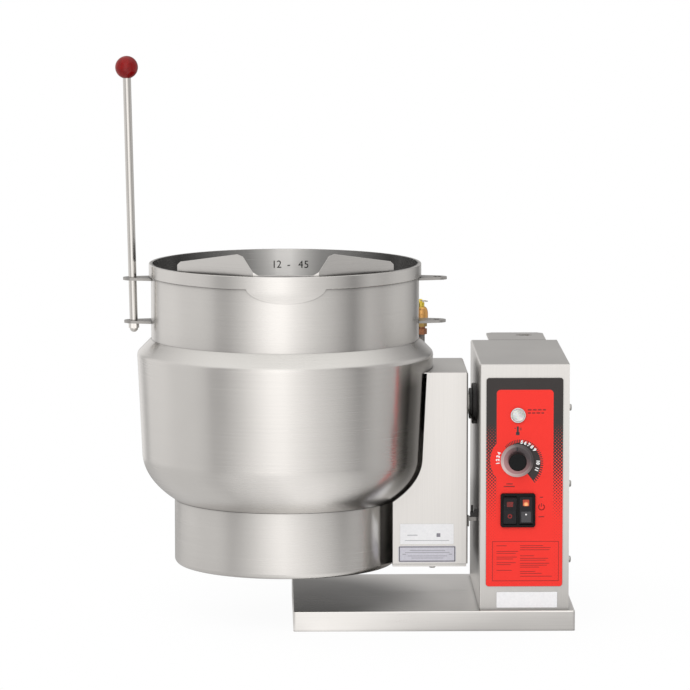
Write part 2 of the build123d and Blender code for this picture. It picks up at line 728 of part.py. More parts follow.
def upper_handle_tabs():
    """Upper tabs, holed for the rod itself."""
    return [handle_tab(side, UPPER_TAB_Z, LEVER_ROD + 2 * SEAL_GAP) for side in (-1, 1)]


def lower_handle_tabs():
    """Lower tabs, holed for the rod's stud."""
    return [handle_tab(side, LOWER_TAB_Z, LEVER_STUD + 2 * SEAL_GAP) for side in (-1, 1)]


def lever_rod():
    """Straight steel rod with a shouldered stud that goes through the lower tab."""
    knob_bottom = LEVER_LENGTH - KNOB_DIAMETER / 2
    shaft = rod(lever_plane(-1, WELD_GAP), LEVER_ROD / 2, knob_bottom + KNOB_SOCKET - WELD_GAP)
    stud_end = -TAB_THICKNESS - WELD_GAP - LEVER_STUD_REACH
    stud = rod(lever_plane(-1, stud_end), LEVER_STUD / 2, WELD_GAP - stud_end)
    return shaft + stud


def lever_knob():
    """Ball knob with a blind hole for the rod."""
    ball = lever_plane(-1, LEVER_LENGTH) * Sphere(KNOB_DIAMETER / 2)
    foot = LEVER_LENGTH - KNOB_DIAMETER / 2
    hole = rod(
        lever_plane(-1, foot - KNOB_SOCKET), LEVER_ROD / 2 + SCREW_GAP, 2 * KNOB_SOCKET + SCREW_GAP
    )
    return ball - hole


def lever_nut():
    """Acorn nut on the stud under the lower tab."""
    top = -TAB_THICKNESS - WELD_GAP
    dome_radius = ACORN_HEX / 2 - ACORN_DOME_INSET
    hex_bottom = top - ACORN_HEX_HEIGHT
    nut = hex_bar(lever_plane(-1, hex_bottom), ACORN_HEX, ACORN_HEX_HEIGHT)
    nut += lever_plane(-1, hex_bottom) * Sphere(dome_radius)
    hole = rod(
        lever_plane(-1, top - LEVER_STUD_REACH - SCREW_GAP), LEVER_STUD / 2 + SCREW_GAP,
        2 * LEVER_STUD_REACH,
    )
    return nut - hole


VESSEL = {
    "bowl": bowl(),
    "rim_band": rim_band(),
    "pour_dam": pour_dam(),
    "jacket": jacket(),
    "skirt": skirt(),
    "skirt_cover": skirt_cover(),
    "heating_elements": Compound(heating_elements()),
    "jacket_probes": Compound(jacket_probes()),
    "upper_handle_tabs": Compound(upper_handle_tabs()),
    "lower_handle_tabs": Compound(lower_handle_tabs()),
    "lever_rod": lever_rod(),
    "lever_knob": lever_knob(),
    "lever_nut": lever_nut(),
}


# --- Pivot housing and trunnion -----------------------------------------------------------------

def pivot_housing():
    """Sheet cover over the trunnion, cut to the vessel's profile, its top meeting the jacket."""
    outer = block(
        HOUSING_LEFT, HOUSING_RIGHT, HOUSING_FRONT, HOUSING_BACK, HOUSING_BOTTOM_Z, HOUSING_TOP_Z
    )
    right = outer.faces().sort_by(Axis.X)[-1]
    bends = [edge for edge in right.edges() if edge.center().Z > HOUSING_BOTTOM_Z + 1]
    outer = fillet(bends, HOUSING_EDGE)
    inner = block(
        HOUSING_LEFT, HOUSING_RIGHT - HOUSING_GAUGE, HOUSING_FRONT + HOUSING_GAUGE,
        HOUSING_BACK - HOUSING_GAUGE, HOUSING_BOTTOM_Z, HOUSING_TOP_Z - HOUSING_GAUGE,
    )
    top_slab = block(
        HOUSING_LEFT, HOUSING_RIGHT, HOUSING_FRONT, HOUSING_BACK,
        HOUSING_TOP_Z - HOUSING_GAUGE, HOUSING_TOP_Z,
    )
    walls = outer - inner - top_slab - jacket_solid(HOUSING_JACKET_GAP)
    shell = walls + (outer & top_slab) - jacket_solid(SHEET_GAP)
    shell -= rod(
        along_x(HOUSING_RIGHT - PIPE_RADIUS, TRUNNION_Y, TRUNNION_Z), PIPE_RADIUS + SEAL_GAP,
        PIPE_DIAMETER,
    )
    return shell.solids().sort_by(SortBy.VOLUME)[-1]


def housing_cover():
    """Shallow tray that closes the housing from below."""
    front = HOUSING_FRONT + COVER_INSET
    back = HOUSING_BACK - COVER_INSET
    right = HOUSING_RIGHT - COVER_INSET
    bottom = HOUSING_BOTTOM_Z - COVER_HEIGHT
    top = HOUSING_BOTTOM_Z
    tray = block(HOUSING_LEFT, right, front, back, bottom, top)
    tray -= block(
        HOUSING_LEFT, right - HOUSING_GAUGE, front + HOUSING_GAUGE, back - HOUSING_GAUGE,
        bottom + HOUSING_GAUGE, top,
    )
    tray -= vessel_envelope(SHEET_GAP)
    for x, y in housing_screw_places():
        tray -= rod(Plane((x, y, bottom)), COVER_SCREW_SHANK / 2 + SCREW_GAP, COVER_HEIGHT)
    return tray.solids().sort_by(SortBy.VOLUME)[-1]


def housing_screw_places():
    """Plan positions of the cover's two screws."""
    x = (SKIRT_RADIUS + HOUSING_RIGHT) / 2
    return [(x, HOUSING_FRONT + COVER_SCREW_MARGIN), (x, HOUSING_BACK - COVER_SCREW_MARGIN)]


def pan_screw(plane, head, shank, length):
    """Pan-head screw: the head stands on the plane and the shank runs back from it."""
    height = head * SCREW_HEAD_SHARE
    dome = rod(plane, head / 2, height)
    rim = dome.faces().sort_by_distance(plane.origin + plane.z_dir * height)[0].edges()
    dome = fillet(rim, head * SCREW_DOME_SHARE)
    return dome + rod(deeper(plane, length), shank / 2, length)


def housing_screws():
    """Screws that hold the housing's bottom cover."""
    bottom = HOUSING_BOTTOM_Z - COVER_HEIGHT
    return [
        pan_screw(
            Plane(origin=(x, y, bottom), x_dir=(1, 0, 0), z_dir=(0, 0, -1)),
            COVER_SCREW_HEAD, COVER_SCREW_SHANK, COVER_SCREW_LENGTH,
        )
        for x, y in housing_screw_places()
    ]


def trunnion_bolt_places(x):
    """Planes of the four flange bolts, along +X."""
    reach = TRUNNION_BOLT_CIRCLE / 2
    return [
        along_x(
            x,
            TRUNNION_Y + reach * math.cos(math.radians(turn)),
            TRUNNION_Z + reach * math.sin(math.radians(turn)),
        )
        for turn in (45, 135, 225, 315)
    ]


def trunnion_saddle():
    """Welded box bracket that carries the trunnion flange off the jacket's side."""
    half = SADDLE_SIZE / 2
    z0, z1 = TRUNNION_Z - half, TRUNNION_Z + half
    y0, y1 = TRUNNION_Y - half, TRUNNION_Y + half
    saddle = block(SADDLE_LEFT, SADDLE_RIGHT, y0, y1, z0, z1)
    wall = SADDLE_WALL
    saddle -= block(SADDLE_LEFT, SADDLE_RIGHT - wall, y0 + wall, y1 - wall, z0 + wall, z1 - wall)
    saddle -= jacket_solid(WELD_GAP)
    face_x = SADDLE_RIGHT - wall
    saddle -= rod(along_x(face_x, TRUNNION_Y, TRUNNION_Z), PIPE_RADIUS - PIPE_WALL, wall)
    for place in trunnion_bolt_places(face_x):
        saddle -= rod(place, TRUNNION_BOLT / 2 + SCREW_GAP, wall)
    return saddle.solids().sort_by(SortBy.VOLUME)[-1]


def trunnion_shaft():
    """Hollow trunnion pipe with its bolting flange; the wiring runs through its bore."""
    start = along_x(SADDLE_RIGHT, TRUNNION_Y, TRUNNION_Z)
    bore = PIPE_RADIUS - PIPE_WALL
    shaft = rod(start, TRUNNION_FLANGE_DIAMETER / 2, TRUNNION_FLANGE_THICKNESS, bore)
    shaft += rod(start, PIPE_RADIUS, PIPE_END - SADDLE_RIGHT, bore)
    for place in trunnion_bolt_places(SADDLE_RIGHT):
        shaft -= rod(place, TRUNNION_BOLT / 2 + SCREW_GAP, TRUNNION_FLANGE_THICKNESS)
    return shaft


def trunnion_bolts():
    """Hexagon bolts through the trunnion flange into the saddle."""
    bolts = []
    for place in trunnion_bolt_places(SADDLE_RIGHT + TRUNNION_FLANGE_THICKNESS):
        bolt = hex_bar(place, TRUNNION_BOLT_HEX, TRUNNION_BOLT_HEAD)
        shank = deeper(place, TRUNNION_BOLT_LENGTH)
        bolts.append(bolt + rod(shank, TRUNNION_BOLT / 2, TRUNNION_BOLT_LENGTH))
    return bolts


def trunnion_collar():
    """Collar on the pipe outside the housing."""
    start = along_x(HOUSING_RIGHT + WELD_GAP, TRUNNION_Y, TRUNNION_Z)
    return rod(start, COLLAR_DIAMETER / 2, COLLAR_LENGTH, PIPE_RADIUS + WELD_GAP)


def shaft_collars():
    """Two set collars that hold the shaft endways between the bearings."""
    inner_left = FRAME_LEFT + FRAME_PLATE + BEARING_FLANGE_THICKNESS + WELD_GAP
    inner_right = FRAME_RIGHT - FRAME_PLATE - BEARING_FLANGE_THICKNESS - WELD_GAP
    return [
        rod(along_x(x, TRUNNION_Y, TRUNNION_Z), SHAFT_COLLAR / 2, SHAFT_COLLAR_LENGTH,
            PIPE_RADIUS + WELD_GAP)
        for x in (inner_left, inner_right - SHAFT_COLLAR_LENGTH)
    ]


def stop_tab():
    """Stop on the housing's side: its blade comes up under the console's stop arm."""
    left = HOUSING_RIGHT
    front = STOP_Y - STOP_DEPTH / 2
    top = STOP_Z - WELD_GAP
    blade = block(
        left, left + STOP_TAB_REACH, front, front + STOP_DEPTH, top - STOP_BLADE_HEIGHT, top
    )
    tips = blade.faces().sort_by(Axis.X)[-1].edges().filter_by(Axis.Y)
    foot = block(
        left, left + STOP_TAB_THICKNESS, front, front + STOP_TAB_FOOT, top - STOP_TAB_HEIGHT, top
    )
    return fillet(tips, BUMPER_EDGE) + foot


SADDLE_GROUP = {
    "pivot_housing": pivot_housing(),
    "housing_cover": housing_cover(),
    "housing_screws": Compound(housing_screws()),
    "trunnion_saddle": trunnion_saddle(),
    "trunnion_shaft": trunnion_shaft(),
    "trunnion_bolts": Compound(trunnion_bolts()),
    "trunnion_collar": trunnion_collar(),
    "shaft_collars": Compound(shaft_collars()),
    "stop_tab": stop_tab(),
}


# --- Safety valve, gauge and plug ------------------------------------------------------------------

def valve_nipple():
    """Bored pipe stub that stands in the shoulder under the valve."""
    return rod(
        fitting_place(VALVE_ANGLE, FITTING_BOTTOM_Z), FITTING_PIPE / 2,
        VALVE_HEX_BOTTOM_Z - FITTING_BOTTOM_Z, FITTING_PIPE_BORE / 2,
    )


def valve_bushing():
    """Reducing bushing on the nipple: hexagon and round collar."""
    top_z = VALVE_HEX_BOTTOM_Z + VALVE_HEX_HEIGHT
    bore = FITTING_PIPE_BORE / 2
    hexagon = hex_bar(Plane((0, 0, VALVE_HEX_BOTTOM_Z)), VALVE_HEX, VALVE_HEX_HEIGHT, bore)
    collar = rod(Plane((0, 0, top_z)), VALVE_HEX / 2 - VALVE_COLLAR_INSET, VALVE_NECK_HEIGHT, bore)
    return Pos(VALVE_X, VALVE_Y, 0) * (hexagon + collar)


def valve_body():
    """Valve body: wrench hexagon, neck and bell-shaped bonnet, drilled for the stem."""
    hex_z = VALVE_HEX_BOTTOM_Z + VALVE_HEX_HEIGHT + VALVE_NECK_HEIGHT
    neck_z = hex_z + VALVE_HEX_HEIGHT
    body = hex_bar(Plane((0, 0, hex_z)), VALVE_HEX, VALVE_HEX_HEIGHT)
    top_z = VALVE_BONNET_BOTTOM_Z + VALVE_BONNET_HEIGHT
    neck = VALVE_HEX / 2 - VALVE_NECK_INSET
    shoulder_z = VALVE_BONNET_BOTTOM_Z + VALVE_BONNET_HEIGHT * VALVE_BONNET_SHARE
    body += spin([
        *Polyline(
            (0, top_z), (0, neck_z), (neck, neck_z), (neck, VALVE_BONNET_BOTTOM_Z),
            (VALVE_BONNET_RADIUS, VALVE_BONNET_BOTTOM_Z), (VALVE_BONNET_RADIUS, shoulder_z),
        ).edges(),
        Spline(
            (VALVE_BONNET_RADIUS, shoulder_z), (VALVE_BONNET_TOP_RADIUS, top_z),
            tangents=[(0, 1), (-1, 0.7)],
        ),
        Line((VALVE_BONNET_TOP_RADIUS, top_z), (0, top_z)),
    ])
    bore_bottom = top_z - VALVE_STEM_DEPTH - VALVE_STEM_END_GAP
    bore = rod(Plane((0, 0, bore_bottom)), VALVE_STEM_RADIUS + RUNNING_GAP, VALVE_BONNET_HEIGHT)
    return Pos(VALVE_X, VALVE_Y, 0) * (body - bore)


def valve_stem():
    """Lifting stem: cap above the bonnet, guide below it, tang with the ring's cross hole."""
    cap_z = VALVE_CAP_BOTTOM_Z
    tang_z = cap_z + VALVE_CAP_HEIGHT
    stem = rod(Plane((0, 0, cap_z)), VALVE_CAP_RADIUS, VALVE_CAP_HEIGHT)
    stem = fillet(stem.faces().sort_by(Axis.Z)[-1].edges(), VALVE_CAP_EDGE)
    stem += rod(Plane((0, 0, cap_z - VALVE_STEM_DEPTH)), VALVE_STEM_RADIUS, VALVE_STEM_DEPTH)
    tang = block(
        -VALVE_TANG_WIDTH / 2, VALVE_TANG_WIDTH / 2, -VALVE_TANG_THICKNESS / 2,
        VALVE_TANG_THICKNESS / 2, cap_z, tang_z + VALVE_TANG_HEIGHT,
    )
    top_corners = tang.edges().filter_by(Axis.Y).group_by(Axis.Z)[-1]
    stem += fillet(top_corners, VALVE_TANG_EDGE)
    cross = along_back(0, -VALVE_TANG_WIDTH, ring_pivot_z())
    stem -= rod(cross, RING_WIRE / 2 + SCREW_GAP, 2 * VALVE_TANG_WIDTH)
    return Pos(VALVE_X, VALVE_Y, 0) * stem


def ring_pivot_z():
    """Height of the cross hole in the stem's tang."""
    return VALVE_CAP_BOTTOM_Z + VALVE_CAP_HEIGHT + VALVE_TANG_HEIGHT / 2


def valve_ring():
    """Wire pull ring through the tang, lying over to one side."""
    ring = Pos(RING_RADIUS, 0, 0) * Torus(RING_RADIUS, RING_WIRE / 2)
    ring = Rot(0, RING_DROOP, 0) * ring
    return Pos(VALVE_X, VALVE_Y, ring_pivot_z()) * ring


def gauge_front():
    """Plane of the gauge's open front: it faces away from the vessel."""
    turn = math.radians(GAUGE_ANGLE)
    axis = Vector(math.cos(turn), math.sin(turn), 0)
    centre = axis * (FITTING_RADIUS + GAUGE_DEPTH / 2) + Vector(0, 0, GAUGE_Z)
    return Plane(origin=centre, x_dir=(-axis.Y, axis.X, 0), z_dir=axis)


def gauge_stem():
    """Gauge nipple with its wrench hexagon."""
    stem_top = GAUGE_Z - GAUGE_DIAMETER / 2 - WELD_GAP
    stem = rod(fitting_place(GAUGE_ANGLE, FITTING_BOTTOM_Z), FITTING_PIPE / 2, stem_top - FITTING_BOTTOM_Z)
    hex_z = stem_top - GAUGE_STEM_NECK - FITTING_HEX_HEIGHT
    return stem + hex_bar(fitting_place(GAUGE_ANGLE, hex_z), FITTING_HEX, FITTING_HEX_HEIGHT)


def gauge_case():
    """Round gauge case, open in front, with its back closed."""
    front = gauge_front()
    case = rod(deeper(front, GAUGE_DEPTH), GAUGE_DIAMETER / 2, GAUGE_DEPTH)
    return case - rod(deeper(front, GAUGE_WELL), GAUGE_DIAMETER / 2 - GAUGE_WALL, GAUGE_WELL)


def gauge_dial():
    """Face plate in the bottom of the case, holed for the pointer's spindle."""
    face_radius = GAUGE_DIAMETER / 2 - GAUGE_WALL - SCREW_GAP
    floor = deeper(gauge_front(), GAUGE_WELL)
    return rod(floor, face_radius, FACE_THICKNESS, SPINDLE_RADIUS + RUNNING_GAP)


def gauge_needle():
    """Pointer on its spindle in front of the dial."""
    hub = deeper(gauge_front(), NEEDLE_DEPTH)
    blade = Pos(0, NEEDLE_LENGTH / 2 - NEEDLE_TAIL) * Rectangle(NEEDLE_WIDTH, NEEDLE_LENGTH)
    needle = extrude(hub * blade, amount=NEEDLE_THICKNESS)
    needle += rod(hub, NEEDLE_HUB_RADIUS, NEEDLE_HUB_HEIGHT)
    return needle + rod(deeper(hub, SPINDLE_LENGTH), SPINDLE_RADIUS, SPINDLE_LENGTH)


def gauge_glass():
    """Flat glass set into the case."""
    glass_radius = GAUGE_DIAMETER / 2 - GAUGE_WALL - SCREW_GAP
    return rod(deeper(gauge_front(), GLASS_DEPTH), glass_radius, GLASS_THICKNESS)


def filling_plug():
    """Plug of the jacket's filling port: pipe stub, hexagon and square wrench boss."""
    foot = fitting_place(PLUG_ANGLE, FITTING_BOTTOM_Z)
    hexagon = deeper(foot, -PLUG_STUB)
    boss = deeper(hexagon, -FITTING_HEX_HEIGHT)
    plug = rod(foot, FITTING_PIPE / 2, PLUG_STUB)
    plug += hex_bar(hexagon, FITTING_HEX, FITTING_HEX_HEIGHT)
    return plug + extrude(boss * Rectangle(PLUG_BOSS, PLUG_BOSS), amount=PLUG_BOSS_HEIGHT)


FITTINGS = {
    "valve_nipple": valve_nipple(),
    "valve_bushing": valve_bushing(),
    "valve_body": valve_body(),
    "valve_stem": valve_stem(),
    "valve_ring": valve_ring(),
    "gauge_stem": gauge_stem(),
    "gauge_case": gauge_case(),
    "gauge_dial": gauge_dial(),
    "gauge_needle": gauge_needle(),
    "gauge_glass": gauge_glass(),
    "filling_plug": filling_plug(),
}


# --- Console ------------------------------------------------------------------------------------------

def console_shell():
    """Wrapped sheet: front, left side, top and back, with return flanges for the side cover."""
    z0 = BASE_HEIGHT
    gauge = CONSOLE_GAUGE
    right = CONSOLE_RIGHT - gauge
    outer = block(CONSOLE_LEFT, right, CONSOLE_FRONT, CONSOLE_BACK, z0, CONSOLE_TOP_Z)
    left_face = outer.faces().sort_by(Axis.X)[0]
    bends = [edge for edge in left_face.edges() if edge.center().Z > z0 + 1]
    top_face = outer.faces().sort_by(Axis.Z)[-1]
    bends += top_face.edges().filter_by(Axis.X)
    outer = fillet(bends, CONSOLE_EDGE)
    inner = block(
        CONSOLE_LEFT + gauge, right - gauge, CONSOLE_FRONT + gauge, CONSOLE_BACK - gauge,
        z0, CONSOLE_TOP_Z - gauge,
    )
    mouth = block(
        right - gauge, right, CONSOLE_FRONT + RETURN_FLANGE, CONSOLE_BACK - RETURN_FLANGE,
        z0, CONSOLE_TOP_Z - RETURN_FLANGE,
    )
    shell = outer - inner - mouth
    pipe_hole = PIPE_RADIUS + PIPE_CLEARANCE
    shell -= rod(along_x(CONSOLE_LEFT, TRUNNION_Y, TRUNNION_Z), pipe_hole, gauge)
    shell -= panel_cut(CONSOLE_FRONT, gauge)
    hub_hole = HUB_NECK / 2 + SCREW_GAP
    shell -= rod(along_back(HUB_X, CONSOLE_BACK - gauge, HUB_Z), hub_hole, gauge)
    for plane in side_screw_places(right - gauge):
        shell -= rod(plane, COVER_SCREW_SHANK / 2 + SCREW_GAP, gauge)
    return shell


def panel_cut(front, depth):
    """What the lamp, the dial's shaft and the switch take out of the panel."""
    shaft_hole = SHAFT_DIAMETER / 2 + DIAL_SHAFT_CLEARANCE
    cut = rod(along_back(LAMP_X, front, LAMP_Z), LAMP_LENS_DIAMETER / 2, depth)
    cut += rod(along_back(DIAL_X, front, DIAL_Z), shaft_hole, depth)
    return cut + switch_collar(SHEET_GAP, front, front + depth)


def side_screw_places(x):
    """Planes of the six side-cover screws, along +X."""
    return [
        along_x(x, y, z)
        for y in (CONSOLE_FRONT + COVER_SCREW_INSET, CONSOLE_BACK - COVER_SCREW_INSET)
        for z in COVER_SCREW_Z
    ]


def side_cover():
    """Flat right-hand cover, screwed over the shell's return flanges."""
    x1 = CONSOLE_RIGHT
    plate = block(x1 - CONSOLE_GAUGE, x1, CONSOLE_FRONT, CONSOLE_BACK, BASE_HEIGHT, CONSOLE_TOP_Z)
    plate = fillet(plate.edges().filter_by(Axis.X).sort_by(Axis.Z)[-2:], CONSOLE_EDGE)
    for plane in side_screw_places(x1 - CONSOLE_GAUGE):
        plate -= rod(plane, COVER_SCREW_SHANK / 2 + SCREW_GAP, CONSOLE_GAUGE)
    return plate


def side_screws():
    """Screws of the side cover."""
    return [
        pan_screw(plane, COVER_SCREW_HEAD, COVER_SCREW_SHANK, COVER_SCREW_LENGTH)
        for plane in side_screw_places(CONSOLE_RIGHT)
    ]


def faucet_bracket():
    """Bent bracket on the console's back, with the faucet's mounting hole."""
    x0, x1 = BRACKET_LEFT, BRACKET_LEFT + BRACKET_WIDTH
    y0, y1 = CONSOLE_BACK, CONSOLE_BACK + BRACKET_REACH
    z1 = CONSOLE_TOP_Z
    shelf = block(x0, x1, y0, y1, z1 - BRACKET_THICKNESS, z1)
    back_corners = shelf.edges().filter_by(Axis.Z).group_by(Axis.Y)[-1]
    shelf = chamfer(back_corners, BRACKET_CHAMFER)
    leg = block(x0, x1, y0, y0 + BRACKET_THICKNESS, z1 - BRACKET_DROP, z1)
    bracket = shelf + leg
    place = Plane((FAUCET_X, CONSOLE_BACK + FAUCET_SETBACK, z1 - BRACKET_THICKNESS))
    return bracket - rod(place, FAUCET_HOLE / 2, BRACKET_THICKNESS)


def bearing_frame():
    """U-shaped plate frame on the base that holds both trunnion bearings."""
    foot_z = BASE_HEIGHT
    y0 = TRUNNION_Y - FRAME_HALF_DEPTH
    y1 = TRUNNION_Y + FRAME_HALF_DEPTH
    cheek = Pos(0, (foot_z + TRUNNION_Z) / 2) * Rectangle(2 * FRAME_HALF_DEPTH, TRUNNION_Z - foot_z)
    cheek += Pos(0, TRUNNION_Z) * Circle(FRAME_HEAD_RADIUS)
    cheek -= Pos(0, TRUNNION_Z) * Circle(BEARING_HUB / 2 + WELD_GAP)
    frame = extrude(along_x(FRAME_LEFT, TRUNNION_Y, 0) * cheek, amount=FRAME_PLATE)
    frame += extrude(
        along_x(FRAME_RIGHT - FRAME_PLATE, TRUNNION_Y, 0) * cheek, amount=FRAME_PLATE
    )
    frame += block(
        FRAME_LEFT, FRAME_RIGHT, y1 - FRAME_PLATE, y1, foot_z, TRUNNION_Z - FRAME_HEAD_RADIUS
    )
    return frame + block(FRAME_LEFT, FRAME_RIGHT, y0, y1, foot_z, foot_z + FRAME_PLATE)


def trunnion_bearings():
    """Two flanged plain bearings, hubs in the frame's holes, flanges on its inner faces."""
    bore = PIPE_RADIUS + RUNNING_GAP
    left = rod(
        along_x(FRAME_LEFT + FRAME_PLATE, TRUNNION_Y, TRUNNION_Z), BEARING_FLANGE / 2,
        BEARING_FLANGE_THICKNESS, bore,
    ) + rod(along_x(FRAME_LEFT, TRUNNION_Y, TRUNNION_Z), BEARING_HUB / 2, FRAME_PLATE, bore)
    middle = (FRAME_LEFT + FRAME_RIGHT) / 2
    return [left, mirror(left, Plane.YZ.offset(middle))]


def trunnion_seal():
    """Black seal flange on the console's side, stepped down round the turning pipe."""
    flange_x = CONSOLE_LEFT - SEAL_THICKNESS
    bore = PIPE_RADIUS + SEAL_GAP
    disc = rod(along_x(flange_x, TRUNNION_Y, TRUNNION_Z), SEAL_DIAMETER / 2, SEAL_THICKNESS, bore)
    rim = disc.faces().sort_by(Axis.X)[0].edges().sort_by(SortBy.RADIUS)[-1]
    boss_start = along_x(flange_x - SEAL_BOSS_LENGTH, TRUNNION_Y, TRUNNION_Z)
    return fillet(rim, SEAL_EDGE) + rod(boss_start, SEAL_BOSS_DIAMETER / 2, SEAL_BOSS_LENGTH, bore)


def stop_bumper():
    """Stop arm on the console's side, with its root and its adjusting screw on top."""
    right = CONSOLE_LEFT
    front, back = STOP_Y - STOP_DEPTH / 2, STOP_Y + STOP_DEPTH / 2
    arm_top = STOP_Z + BUMPER_ARM_HEIGHT
    arm = block(right - BUMPER_ARM_LENGTH, right, front, back, STOP_Z, arm_top)
    tips = arm.faces().sort_by(Axis.X)[0].edges().filter_by(Axis.Y)
    root = block(right - BUMPER_ROOT_LENGTH, right, front, back, arm_top, arm_top + BUMPER_ROOT_HEIGHT)
    screw_x = right - BUMPER_ARM_LENGTH + STOP_SCREW / 2 + BUMPER_EDGE
    screw = rod(Plane((screw_x, STOP_Y, arm_top)), STOP_SCREW / 2, STOP_SCREW_HEIGHT)
    return fillet(tips, BUMPER_EDGE) + root + screw


def switch_collar(grow, y0, y1):
    """The bezel's collar behind its flange, where it goes through the panel."""
    width = BEZEL_WIDTH - 2 * BEZEL_FLANGE + 2 * grow
    height = BEZEL_HEIGHT - 2 * BEZEL_FLANGE + 2 * grow
    plane = along_back(SWITCH_X, y0, SWITCH_Z)
    return extrude(plane * RectangleRounded(width, height, COLLAR_CORNER), amount=y1 - y0)


def control_overlay():
    """Thin printed panel on the console's front, cut for lamp, dial shaft and switches."""
    height = OVERLAY_TOP_Z - OVERLAY_BOTTOM_Z
    middle_x = OVERLAY_LEFT + OVERLAY_WIDTH / 2
    plane = along_back(middle_x, OVERLAY_FRONT, OVERLAY_BOTTOM_Z + height / 2)
    sheet = extrude(
        plane * RectangleRounded(OVERLAY_WIDTH, height, OVERLAY_CORNER), amount=OVERLAY_THICKNESS
    )
    return sheet - panel_cut(OVERLAY_FRONT, OVERLAY_THICKNESS)


def lamp_bezel():
    """Lamp's ring on the panel."""
    front = OVERLAY_FRONT - LAMP_BEZEL_HEIGHT
    bore = LAMP_LENS_DIAMETER / 2
    ring = rod(along_back(LAMP_X, front, LAMP_Z), LAMP_DIAMETER / 2, LAMP_BEZEL_HEIGHT, bore)
    rim = ring.faces().sort_by(Axis.Y)[0].edges().sort_by(SortBy.RADIUS)[-1]
    return fillet(rim, LAMP_BEZEL_EDGE)


def pilot_lamp():
    """Clear lens in front, round lamp body behind the panel."""
    front = OVERLAY_FRONT - LAMP_BEZEL_HEIGHT - LAMP_LENS_PROUD
    lens = rod(
        along_back(LAMP_X, front, LAMP_Z), LAMP_LENS_DIAMETER / 2 - WELD_GAP, LAMP_BODY_LENGTH
    )
    return fillet(lens.faces().sort_by(Axis.Y)[0].edges(), LAMP_LENS_EDGE)


def dial_skirt():
    """Bevelled dial disc that turns with the knob."""
    back = OVERLAY_FRONT - DIAL_STANDOFF
    disc = rod(
        along_back(DIAL_X, back - DIAL_SKIRT_THICKNESS, DIAL_Z), DIAL_SKIRT_DIAMETER / 2,
        DIAL_SKIRT_THICKNESS, SHAFT_DIAMETER / 2 + SCREW_GAP,
    )
    rim = disc.faces().sort_by(Axis.Y)[0].edges().sort_by(SortBy.RADIUS)[-1]
    return chamfer(rim, DIAL_SKIRT_BEVEL_DEPTH, DIAL_SKIRT_BEVEL)


def dial_knob():
    """Round knob cap with a shallow dished front, bored for the shaft."""
    back = OVERLAY_FRONT - DIAL_STANDOFF - DIAL_SKIRT_THICKNESS
    front = back - KNOB_CAP_HEIGHT
    cap = rod(along_back(DIAL_X, front, DIAL_Z), KNOB_CAP_DIAMETER / 2, KNOB_CAP_HEIGHT)
    cap = fillet(cap.faces().sort_by(Axis.Y)[0].edges(), KNOB_CAP_EDGE)
    return cap - rod(
        along_back(DIAL_X, front + KNOB_CAP_FLOOR, DIAL_Z), SHAFT_DIAMETER / 2 + SCREW_GAP,
        KNOB_CAP_HEIGHT,
    )


def thermostat():
    """Thermostat body behind the panel, with its threaded bush for the shaft."""
    half = THERMOSTAT_SIZE / 2
    y0 = CONSOLE_FRONT + CONSOLE_GAUGE
    body = block(
        DIAL_X - half, DIAL_X + half, y0, y0 + THERMOSTAT_DEPTH, DIAL_Z - half, DIAL_Z + half
    )
    body = fillet(body.edges().filter_by(Axis.Y), THERMOSTAT_CORNER)
    bore = SHAFT_DIAMETER / 2 + RUNNING_GAP
    return body - rod(along_back(DIAL_X, y0, DIAL_Z), bore, THERMOSTAT_DEPTH - THERMOSTAT_FLOOR)


def thermostat_shaft():
    """Shaft from the thermostat to the knob."""
    cap_back = OVERLAY_FRONT - DIAL_STANDOFF - DIAL_SKIRT_THICKNESS
    front = cap_back - KNOB_CAP_HEIGHT + KNOB_CAP_FLOOR + SHAFT_END_GAP
    bore_end = CONSOLE_FRONT + CONSOLE_GAUGE + THERMOSTAT_DEPTH - THERMOSTAT_FLOOR
    back = bore_end - THERMOSTAT_SHAFT_GAP
    return rod(along_back(DIAL_X, front, DIAL_Z), SHAFT_DIAMETER / 2, back - front)


def switch_bezel():
    """Switch frame: rounded flange and collar with one window for each rocker."""
    plane = along_back(SWITCH_X, BEZEL_FRONT, SWITCH_Z)
    flange = extrude(
        plane * RectangleRounded(BEZEL_WIDTH, BEZEL_HEIGHT, BEZEL_CORNER), amount=BEZEL_PROUD
    )
    flange = fillet(flange.faces().sort_by(Axis.Y)[0].edges(), BEZEL_EDGE)
    frame = flange + switch_collar(0, OVERLAY_FRONT, BEZEL_FRONT + BEZEL_COLLAR)
    window = RectangleRounded(
        ROCKER_WIDTH + 2 * ROCKER_GAP, 2 * (rocker_sweep() + ROCKER_GAP), WINDOW_CORNER
    )
    for side in (-1, 1):
        spot = along_back(SWITCH_X + side * ROCKER_OFFSET, BEZEL_FRONT, SWITCH_Z)
        frame -= extrude(spot * window, amount=BEZEL_COLLAR)
    return frame


def rocker_sweep():
    """Radius that a rocker's end sweeps about its pivot."""
    return math.hypot(ROCKER_END_PROUD, ROCKER_HALF_HEIGHT)


